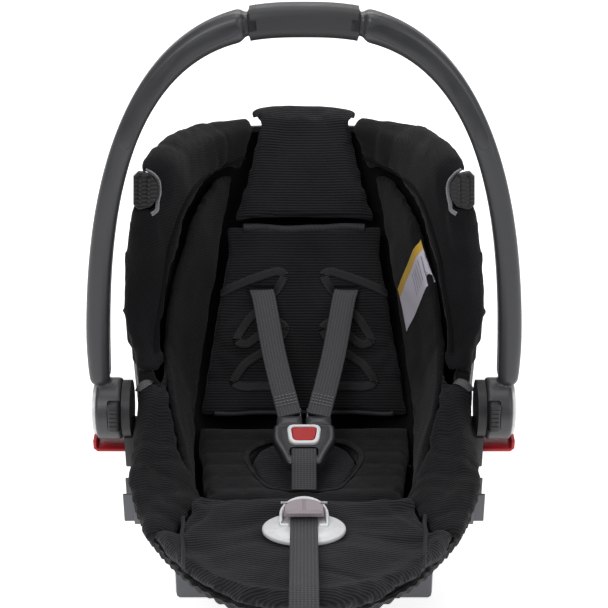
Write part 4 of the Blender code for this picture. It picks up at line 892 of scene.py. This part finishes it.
def make_trims():
    band, cord = flat_section(0.0095, 0.0016), round_section(0.0022)
    for name, s in SIDES:
        winding = [(-90, 178, 225), (-62, 184, 236), (-29, 191, 245), (-19, 189, 242), (-31, 177, 226),
                   (-61, 159, 201), (-75, 146, 184), (-62, 143, 179), (-46, 151, 190), (-29, 159, 201),
                   (-18, 154, 195), (-30, 144, 181), (-64, 132, 163), (-78, 120, 147), (-66, 117, 143),
                   (-47, 117, 144), (-19, 117, 144), (-14, 123, 151)]
        points = rounded_path(mirrored(winding, -s), 7)
        trim(f"{name}_slot_binding", points, band, GROSGRAIN, 0.0009, BACK_TREE, 1)
        opening = [(-160, 96, 405), (-151, 97, 404), (-145, 95, 392), (-145, 94, 371), (-152, 89, 366)]
        trim(f"{name}_opening_edge", mirrored(opening, -s), flat_section(0.0042, 0.0016), FRAY, 0.0009,
             above=Vector((-s * 0.4, -0.6, 0.8)))
        trim(f"{name}_wing_piping", mirrored(WING_SEAM, -s), cord, LINING, 0.0004, above=Vector((-s * 0.9, -0.3, 0.6)))
        trim(f"{name}_corner_piping", mirrored(CORNER_SEAM, -s), cord, PIPING, 0.0006, above=Vector((0, 0, 1)))
        trim(f"{name}_elastic_band", [(s * 150, 24, 215), (s * 160, 18, 212), (s * 170, 12, 208)],
             flat_section(0.009, 0.0016), ELASTIC, 0.0012, above=Vector((0, -0.3, 1)))
    trim("head_band", [(-66, 219, 283), (-40, 220, 285), (0, 221, 286), (40, 220, 285), (66, 219, 283)],
         round_section(0.0046, 12), PIPING, 0.0012)
    trim("lumbar_piping", [(-96, 100, 122), (-60, 97, 118), (0, 96, 117), (60, 97, 118), (96, 100, 122)],
         round_section(0.0026), PIPING, 0.0010)
    hole = [(x, y) for x, y in CROTCH_HOLE] + [(-x, y) for x, y in reversed(CROTCH_HOLE)]
    hole = [(x * 1000 * 1.06, y * 1000, 112) for x, y in hole]
    trim("crotch_opening_binding", hole, flat_section(0.0062, 0.0022), GROSGRAIN, 0.0012, SEAT_TREE, 5, True,
         Vector((0, 0, 1)))


make_trims()


# ---------------------------------------------------------------- elastic edge of the cover
SKIRT_STATIONS, SKIRT_ROWS = 1200, 7
SKIRT_DROP, SKIRT_ROUND = 0.034, 1.55           # how far it hangs, and its length round the shell
GATHER, GATHER_PITCH = 0.0016, 0.0115
SEEN_FROM = 0.45        # rays start this far out


def around(values, reach):
    """Values round a loop, each averaged with its neighbours."""
    n = len(values)
    return [sum(values[(i + k) % n] for k in range(-reach, reach + 1)) / (2 * reach + 1) for i in range(n)]


def make_skirt():
    """The cover's hem, drawn in by elastic under the shell's edge, in small gathers."""
    pads = surface_of([n for n in cushions if "bolster" in n or n == "head_cushion"])
    shell = BVHTree.FromBMesh(copy_of("seat_shell"))
    middle, count = Vector((0, 0.02, 0)), 240
    edges = []
    for i in range(count):
        out = Vector((math.cos(2 * math.pi * i / count), math.sin(2 * math.pi * i / count), 0))
        lowest = None
        for k in range(170):
            start = middle + out * SEEN_FROM + Vector((0, 0, 0.44 - 0.002 * k))
            cloth, hull = pads.ray_cast(start, -out, 0.44)[3], shell.ray_cast(start, -out, 0.44)[3]
            if cloth is not None and (hull is None or cloth < hull + 0.001):
                lowest = (start.z, SEEN_FROM - cloth)
        edges.append(lowest)
    known = [k for k, edge in enumerate(edges) if edge]
    for i, edge in enumerate(edges):
        if edge is None:       # between two cushions the nearest one's edge carries on
            edges[i] = edges[min(known, key=lambda k: min(abs(k - i), count - abs(k - i)))]
    heights, reaches = around([e[0] for e in edges], 3), around([e[1] for e in edges], 2)
    bm = bmesh.new()
    bmesh.ops.create_grid(bm, x_segments=SKIRT_STATIONS, y_segments=SKIRT_ROWS, size=0.5)
    along, across = bm.verts.layers.float.new("along"), bm.verts.layers.float.new("across")
    for vert in bm.verts:
        u, v = (vert.co.x + 0.5) % 1.0, 0.5 - vert.co.y
        at = u * count
        i, t = int(at) % count, at % 1
        high = heights[i] * (1 - t) + heights[(i + 1) % count] * t
        reach = reaches[i] * (1 - t) + reaches[(i + 1) % count] * t
        out = Vector((math.cos(2 * math.pi * u), math.sin(2 * math.pi * u), 0))
        ragged = 0.004 * noise.noise(out * 9 + Vector((0, 0, 3)))
        z = high + 0.006 - (SKIRT_DROP + ragged) * v
        hit = shell.ray_cast(middle + out * SEEN_FROM + Vector((0, 0, z)), -out, 0.44)[3]
        hull = SEEN_FROM - hit if hit is not None else reach - 0.01
        wave = math.sin(2 * math.pi * round(SKIRT_ROUND / GATHER_PITCH) * u) + 0.5 * noise.noise(out * 30)
        far = max(hull + 0.0034, (reach - 0.002) * (1 - v) + (hull + 0.0034) * v)
        vert.co = middle + out * (far + GATHER * wave * (0.35 + 0.65 * v)) + Vector((0, 0, z))
        vert[along], vert[across] = u * SKIRT_ROUND, v * SKIRT_DROP
    bmesh.ops.remove_doubles(bm, verts=bm.verts, dist=1e-5)
    bmesh.ops.solidify(bm, geom=bm.faces[:], thickness=0.0008)
    made = finished("gathered_hem", bm, COVER, "seat", crease=70)


make_skirt()


# ---------------------------------------------------------------- label on the side wall
def make_label():
    corners = [Vector(p) * MM for p in ((121, 136, 314), (134, 107, 283), (112, 136, 203), (103, 165, 239))]
    tree = surface_of(["left_wing_bolster", "left_side_lining_cloth"])
    bm = bmesh.new()
    bmesh.ops.create_grid(bm, x_segments=9, y_segments=16, size=0.5)
    along, across = bm.verts.layers.float.new("along"), bm.verts.layers.float.new("across")
    for vert in bm.verts:
        u, v = vert.co.x + 0.5, 0.5 - vert.co.y
        left, right = corners[0].lerp(corners[3], v), corners[1].lerp(corners[2], v)
        place = left.lerp(right, u)
        hit, out, _, _ = tree.find_nearest(place)
        vert[along], vert[across] = v * 0.080, u * 0.036
        vert.co = hit + out * 0.0012
    bmesh.ops.solidify(bm, geom=bm.faces[:], thickness=0.0006)
    made = finished("sewn_label", bm, LABEL, "seat", ["side_label"], crease=50)


make_label()


# ---------------------------------------------------------------- harness
def tape(name, path, finish, stands_for=(), width=WEB_WIDTH, thickness=WEB_THICKNESS):
    """Webbing along a path in the seat's middle plane, lying square to the width."""
    ups = []
    for i in range(len(path)):
        run = path[min(i + 1, len(path) - 1)] - path[max(i - 1, 0)]
        ups.append(Vector((1, 0, 0)).cross(run).normalized())
    return finished(name, swept(path, flat_section(width, thickness), ups), finish, "seat",
                    stands_for, crease=50)


def slot_point(row, reach):
    y, x = STRAP_ROWS[row]
    return Vector((x, y + reach * math.cos(SLOT_TILT), back_height(y) - reach * math.sin(SLOT_TILT)))


def stitch_rows(name, centre, run, out, width, rows, body="seat"):
    """Rows of lockstitch across a tape: short raised threads."""
    parts = []
    side = run.cross(out).normalized()
    for row in range(rows):
        for k in range(6):
            at = centre + run.normalized() * 0.0034 * row + side * width * (k / 5 - 0.5) + out * 0.0010
            turn = Matrix((side, run.normalized(), out)).transposed().to_4x4()
            parts.append(block((width / 6.5, 0.0009, 0.0008), Matrix.Translation(at) @ turn, 0.0003, 1))
    finished(name, joined(*parts), THREAD, body, crease=60)


def make_harness():
    for name, side in SIDES:
        tongue = BUCKLE @ Vector((0.0150, 0.0235 + 0.0290 - 0.0130 + 0.0016, 0.0003))
        yoke = Vector((0.0, 0.184, 0.086)) + Vector((0.025, 0.018, 0.0125))
        ahead = slot_point(0, 0).lerp(tongue, 0.12) + Vector((0, -0.002, 0.0062))
        middle = slot_point(0, 0).lerp(tongue, 0.55) + Vector((0.002, -0.001, 0.0030))
        path = [yoke, Vector((0.040, 0.226, 0.124)), slot_point(0, 0.104) + Vector((0, 0.002, -0.008)),
                slot_point(0, 0.092), slot_point(0, 0.010), slot_point(0, -0.006), ahead, middle, tongue]
        path = [Vector((p.x * side, p.y, p.z)) for p in smooth_line(path, 6)]
        tape(f"{name}_shoulder_webbing", path, HARNESS, [f"{name}_shoulder_strap"])
        end, run = path[-1], (path[-6] - path[-1]).normalized()
        out = Vector((1, 0, 0)).cross(run).normalized()
        out = out if out.z > 0 else -out
        # the end is folded back through the tongue and sewn down
        fold = [end + out * 0.0019, end + run * 0.012 + out * 0.0020, end + run * 0.026 + out * 0.0018]
        tape(f"{name}_webbing_fold", smooth_line(fold, 4), HARNESS)
        stitch_rows(f"{name}_fold_stitching", end + run * 0.012 + out * 0.0026, run, out, 0.019, 4)
    pocket = BUCKLE @ Vector((0, -0.0210, 0.0))
    y = -0.0190
    points = [(0, y, 0.0290), (0, y, 0.060), (0, y, 0.108), (0, y + 0.002, 0.124), tuple(pocket)]
    crotch = smooth_line(points, 5)
    tape("crotch_webbing", crotch, HARNESS, ["crotch_strap"])
    front, entry = -0.1800, -0.1560
    points = [(0, 0.1700, 0.0800), (0, 0.140, 0.060), (0, 0.100, 0.038), (0, 0.050, 0.017),
              (0, -0.010, 0.013), (0, -0.060, 0.022), (0, -0.105, 0.041), (0, -0.142, 0.058),
              (0, entry, 0.078), (0, entry, 0.120), (0, entry, 0.178),
              (0, entry - 0.006, 0.1862), (0, front - 0.012, 0.1907),
              (0, front - 0.034, 0.1965), (0, -0.250, 0.2050), (0, -0.285, 0.2132),
              (0, -0.303, 0.2165), (0, -0.3160, 0.2090), (0, -0.3205, 0.1940),
              (0, -0.3150, 0.1800), (0, -0.2980, 0.1700)]
    tape("adjuster_webbing", smooth_line(points, 4), HARNESS, ["adjuster_strap"])


make_harness()


# ---------------------------------------------------------------- buckle
def make_buckle():
    half = [(0.0120, 0.0250), (0.0310, 0.0262), (0.0318, 0.0060), (0.0225, -0.0130), (0.0168, -0.0275)]
    outline = rounded_outline(mirrored_outline(half), 0.006, 5)
    shield = plate(outline, -0.0085, 0.0058, 0.0030, 4, 0.0044, 8)
    bmesh.ops.transform(shield, matrix=BUCKLE, verts=shield.verts)
    window = block((0.0290, 0.0100, 0.02), BUCKLE @ Matrix.Translation((0, -0.0130, 0.0120)), 0.002)
    well = plate(rounded_outline(mirrored_outline([(0.0160, 0.0185), (0.0140, -0.0045)]), 0.006),
                 0.0008, 0.02, at=BUCKLE)
    mouth = block((0.0580, 0.0180, 0.0046), BUCKLE @ Matrix.Translation((0, 0.0260, -0.0020)))
    finished("buckle_shield", without(shield, window, well, mouth), BUCKLE_ABS, "seat",
             ["buckle_body"], crease=52)
    loop = [(0, -0.0100, 0.0050), (0, -0.0118, 0.0098), (0, -0.0180, 0.0116), (0, -0.0290, 0.0090),
            (0, -0.0400, 0.0020), (0, -0.0520, -0.0050)]
    tape("crotch_strap_loop", smooth_line([BUCKLE @ Vector(p) for p in loop], 5), HARNESS)
    ring = plate(rounded_outline(mirrored_outline([(0.0180, 0.0195), (0.0150, -0.0060)]), 0.0085, 7),
                 0.0030, 0.0124, 0.0014, 3, at=BUCKLE)
    hole = plate(rounded_outline(mirrored_outline([(0.0138, 0.0160), (0.0112, -0.0026)]), 0.0052, 7),
                 0.0, 0.03, at=BUCKLE)
    finished("buckle_surround", without(ring, hole), WHITE_ABS, "seat", ["buckle_frame"], crease=38)
    outline = rounded_outline(mirrored_outline([(0.0132, 0.0154), (0.0106, -0.0020)]), 0.0048, 6)
    button = plate(outline, 0.0040, 0.0122, 0.0009, 3, -0.0008, 3, at=BUCKLE)
    finished("buckle_press_button", button, RED_ABS, "buckle_release", ["buckle_button"], crease=40)
    for name, side in SIDES:
        outline = rounded_outline(oblong(0.0030, 0.0268, 0.0230, 0.0535), 0.003)
        tongue = plate([(x * side, y) for x, y in outline], -0.0034, -0.0006, 0.0006, 2, at=BUCKLE)
        hole = rounded_outline(oblong(0.0040, 0.0262, 0.0415, 0.0465), 0.002)
        slot = plate([(x * side, y) for x, y in hole], -0.01, 0.01, at=BUCKLE)
        finished(f"{name}_tongue_plate", without(tongue, slot), STEEL, "seat", [f"{name}_tongue"])
        cover = rounded_outline(oblong(0.0018, 0.0282, 0.0262, 0.0400), 0.004)
        shoe = plate([(x * side, y) for x, y in cover], -0.0052, 0.0022, 0.0016, 3, 0.0010, 3, at=BUCKLE)
        finished(f"{name}_tongue_cover", shoe, BUCKLE_ABS, "seat", crease=40)


make_buckle()


# ---------------------------------------------------------------- harness adjuster
PLATE_HALF, PLATE_DEEP, PLATE_THICK = 0.0380, 0.0290, 0.0050
DOME_HALF, DOME_LONG, DOME_SHIFT = 0.0225, 0.0340, 0.0150
DOME_WALL, DOME_FRONT, DOME_BACK = 0.0028, 0.0052, 0.0180      # the ring's wall, and its two heights


def dome_outline(inset):
    """The ring's outline: straight in front, round behind."""
    half, long = DOME_HALF - inset, DOME_LONG - inset
    front = -DOME_LONG / 2 + inset + DOME_SHIFT
    points = [(half, front)]
    for i in range(17):
        angle = math.pi * i / 16
        points.append((half * math.cos(angle), front + 0.35 * long + (0.65 * long - inset) * math.sin(angle)))
    return points + [(-half, front)]


def make_adjuster():
    turns = [math.pi * i / 28 for i in range(56)]
    oval = [(PLATE_HALF * math.cos(a), PLATE_DEEP * math.sin(a)) for a in turns]
    rim = plate(oval, -PLATE_THICK / 2, PLATE_THICK / 2, 0.0018, 3, 0.0016, 4, at=ADJUSTER)
    foot = PLATE_THICK / 2 - 0.001
    path = [Vector((x, y, 0)) for x, y in dome_outline(DOME_WALL / 2)]
    path = [a.lerp(b, t) for a, b in zip(path, path[1:] + path[:1]) for t in (0, 0.5)]
    w, r, shoulder = DOME_WALL / 2, 0.0009, 0.94
    section = [(-w, 0), (w, 0), (w, shoulder), (w - r, 1), (-w + r, 1), (-w, shoulder)]
    dome = swept(path, section, Vector((0, 0, 1)), True)
    bmesh.ops.recalc_face_normals(dome, faces=dome.faces)
    near, far = min(v.co.y for v in dome.verts), max(v.co.y for v in dome.verts)
    for vert in dome.verts:
        back = (vert.co.y - near) / (far - near)
        vert.co.z = foot + vert.co.z * (DOME_FRONT + (DOME_BACK - DOME_FRONT) * back - foot)
    bmesh.ops.transform(dome, matrix=ADJUSTER, verts=dome.verts)
    entry = block((WEB_WIDTH + 0.003, 0.0070, 0.06), Matrix.Translation((0, -0.1560, 0.1835)))
    mouth = block((WEB_WIDTH + 0.003, 0.022, 0.0062),
                  ADJUSTER @ Matrix.Translation((0, DOME_SHIFT - DOME_LONG / 2, PLATE_THICK / 2 + 0.0031)))
    rim = joined(without(rim, entry), without(dome, mouth))
    finished("adjuster_bezel", rim, WHITE_ABS, "seat", ["adjuster_housing"], crease=38)
    leaning = ADJUSTER @ tilted((0, DOME_SHIFT, 0.0142), 6)
    outline = [(x, y - DOME_SHIFT) for x, y in dome_outline(0.0042)]
    lever = plate(outline, -0.0020, 0.0016, 0.0008, 2, -0.0010, 3, at=leaning)
    spine = block((0.0024, 0.0220, 0.0022), leaning @ Matrix.Translation((0, -0.0010, 0.0014)), 0.0007)
    ledge = block((0.0330, 0.0050, 0.0024), leaning @ Matrix.Translation((0, -0.0105, 0.0014)), 0.0009)
    finished("adjuster_press_lever", joined(lever, spine, ledge), LEVER_POM, "adjuster_release",
             ["adjuster_lever"], crease=40)


make_adjuster()


# ---------------------------------------------------------------- shell, fittings and hidden parts
def refined(name, cad, finish, body="seat", bevel=0.0, crease_at=34):
    """The CAD form, welded and smooth, with its edges eased."""
    made = finished(name, copy_of(cad), finish, body, [cad], crease=crease_at)
    if bevel:      # both edges of each corner are eased, as a mould leaves them
        eased = made.modifiers.new("eased", "BEVEL")
        eased.width, eased.segments, eased.limit_method = bevel, 2, "ANGLE"
        eased.angle_limit = math.radians(40)
    return made


refined("moulded_shell", "seat_shell", SHELL_PP)
for name, side in SIDES:
    refined(f"{name}_rocker", f"{name}_runner", FOOT_PP, bevel=0.0022)
    refined(f"{name}_strap_hook", f"{name}_belt_hook", RED_PP, bevel=0.0006)
    refined(f"{name}_blade", f"{name}_adapter", FOOT_PP)
    refined(f"{name}_ear", f"{name}_pivot_ear", SHELL_PP)
    refined(f"{name}_guide", f"{name}_shoulder_guide", RIBBED_PP)


def inner_cloth():
    """The cover's dark lining over the foam, seen between the pads."""
    bm = copy_of("foam_liner")
    centre = Vector((0, 0, 0.46))
    bm.normal_update()
    away = [f for f in bm.faces if f.normal.dot(centre - f.calc_center_median()) < 0.002]
    bmesh.ops.delete(bm, geom=away, context="FACES")
    for vert in bm.verts:
        vert.co += vert.normal * 0.0004
    bmesh.ops.solidify(bm, geom=bm.faces[:], thickness=-0.0004)
    made = finished("inner_lining", bm, LINING, "seat", crease=60)


inner_cloth()

for name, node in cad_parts.items():
    node.data.materials.clear()
    node.data.materials.append(FOAM if name == "foam_liner" else STEEL)


# ---------------------------------------------------------------- setting
def studio():
    bm = bmesh.new()
    bmesh.ops.create_grid(bm, x_segments=1, y_segments=1, size=6)
    mesh = bpy.data.meshes.new("floor")
    bm.to_mesh(mesh)
    bm.free()
    floor = bpy.data.objects.new("floor", mesh)
    bpy.context.scene.collection.objects.link(floor)
    made, tree, shader, place = new_finish("painted_floor_white", **{"Roughness": 0.9})
    mottle = add(tree, "ShaderNodeTexNoise", {"Scale": 3.0}, {"Vector": place}).outputs["Fac"]
    tone(tree, shader, mottle, "#f1f1f1", "#f5f5f5")
    shader.inputs["Emission Color"].default_value = (1, 1, 1, 1)
    shader.inputs["Emission Strength"].default_value = 0.70     # lit from below, as a light table
    mesh.materials.append(made)
    world = bpy.data.worlds.new("studio")
    bpy.context.scene.world = world
    world.use_nodes = True
    world.node_tree.nodes["Background"].inputs["Color"].default_value = (1, 1, 1, 1)
    world.node_tree.nodes["Background"].inputs["Strength"].default_value = 0.30
    for name, place, size, power in (("key", (-0.9, -1.5, 1.9), 1.0, 17), ("fill", (1.5, -1.0, 1.4), 1.2, 9),
                                     ("top", (0, 0.3, 2.2), 1.4, 15), ("back", (0, 1.8, 1.5), 1.2, 10)):
        light = bpy.data.lights.new(name, "AREA")
        light.energy, light.size = power, size
        lamp = bpy.data.objects.new(name, light)
        bpy.context.scene.collection.objects.link(lamp)
        lamp.location = place
        aim = Vector((0, 0, 0.25)) - Vector(place)
        lamp.rotation_euler = aim.to_track_quat("-Z", "Y").to_euler()
    camera = bpy.data.objects.new("camera", bpy.data.cameras.new("camera"))
    bpy.context.scene.collection.objects.link(camera)
    camera.location = (0, -1.3308, 1.0832)
    camera.rotation_euler = (math.radians(60), 0, 0)
    camera.data.lens, camera.data.sensor_width = 94.74, 36
    bpy.context.scene.camera = camera
    bpy.context.scene.view_settings.view_transform = "Standard"


studio()
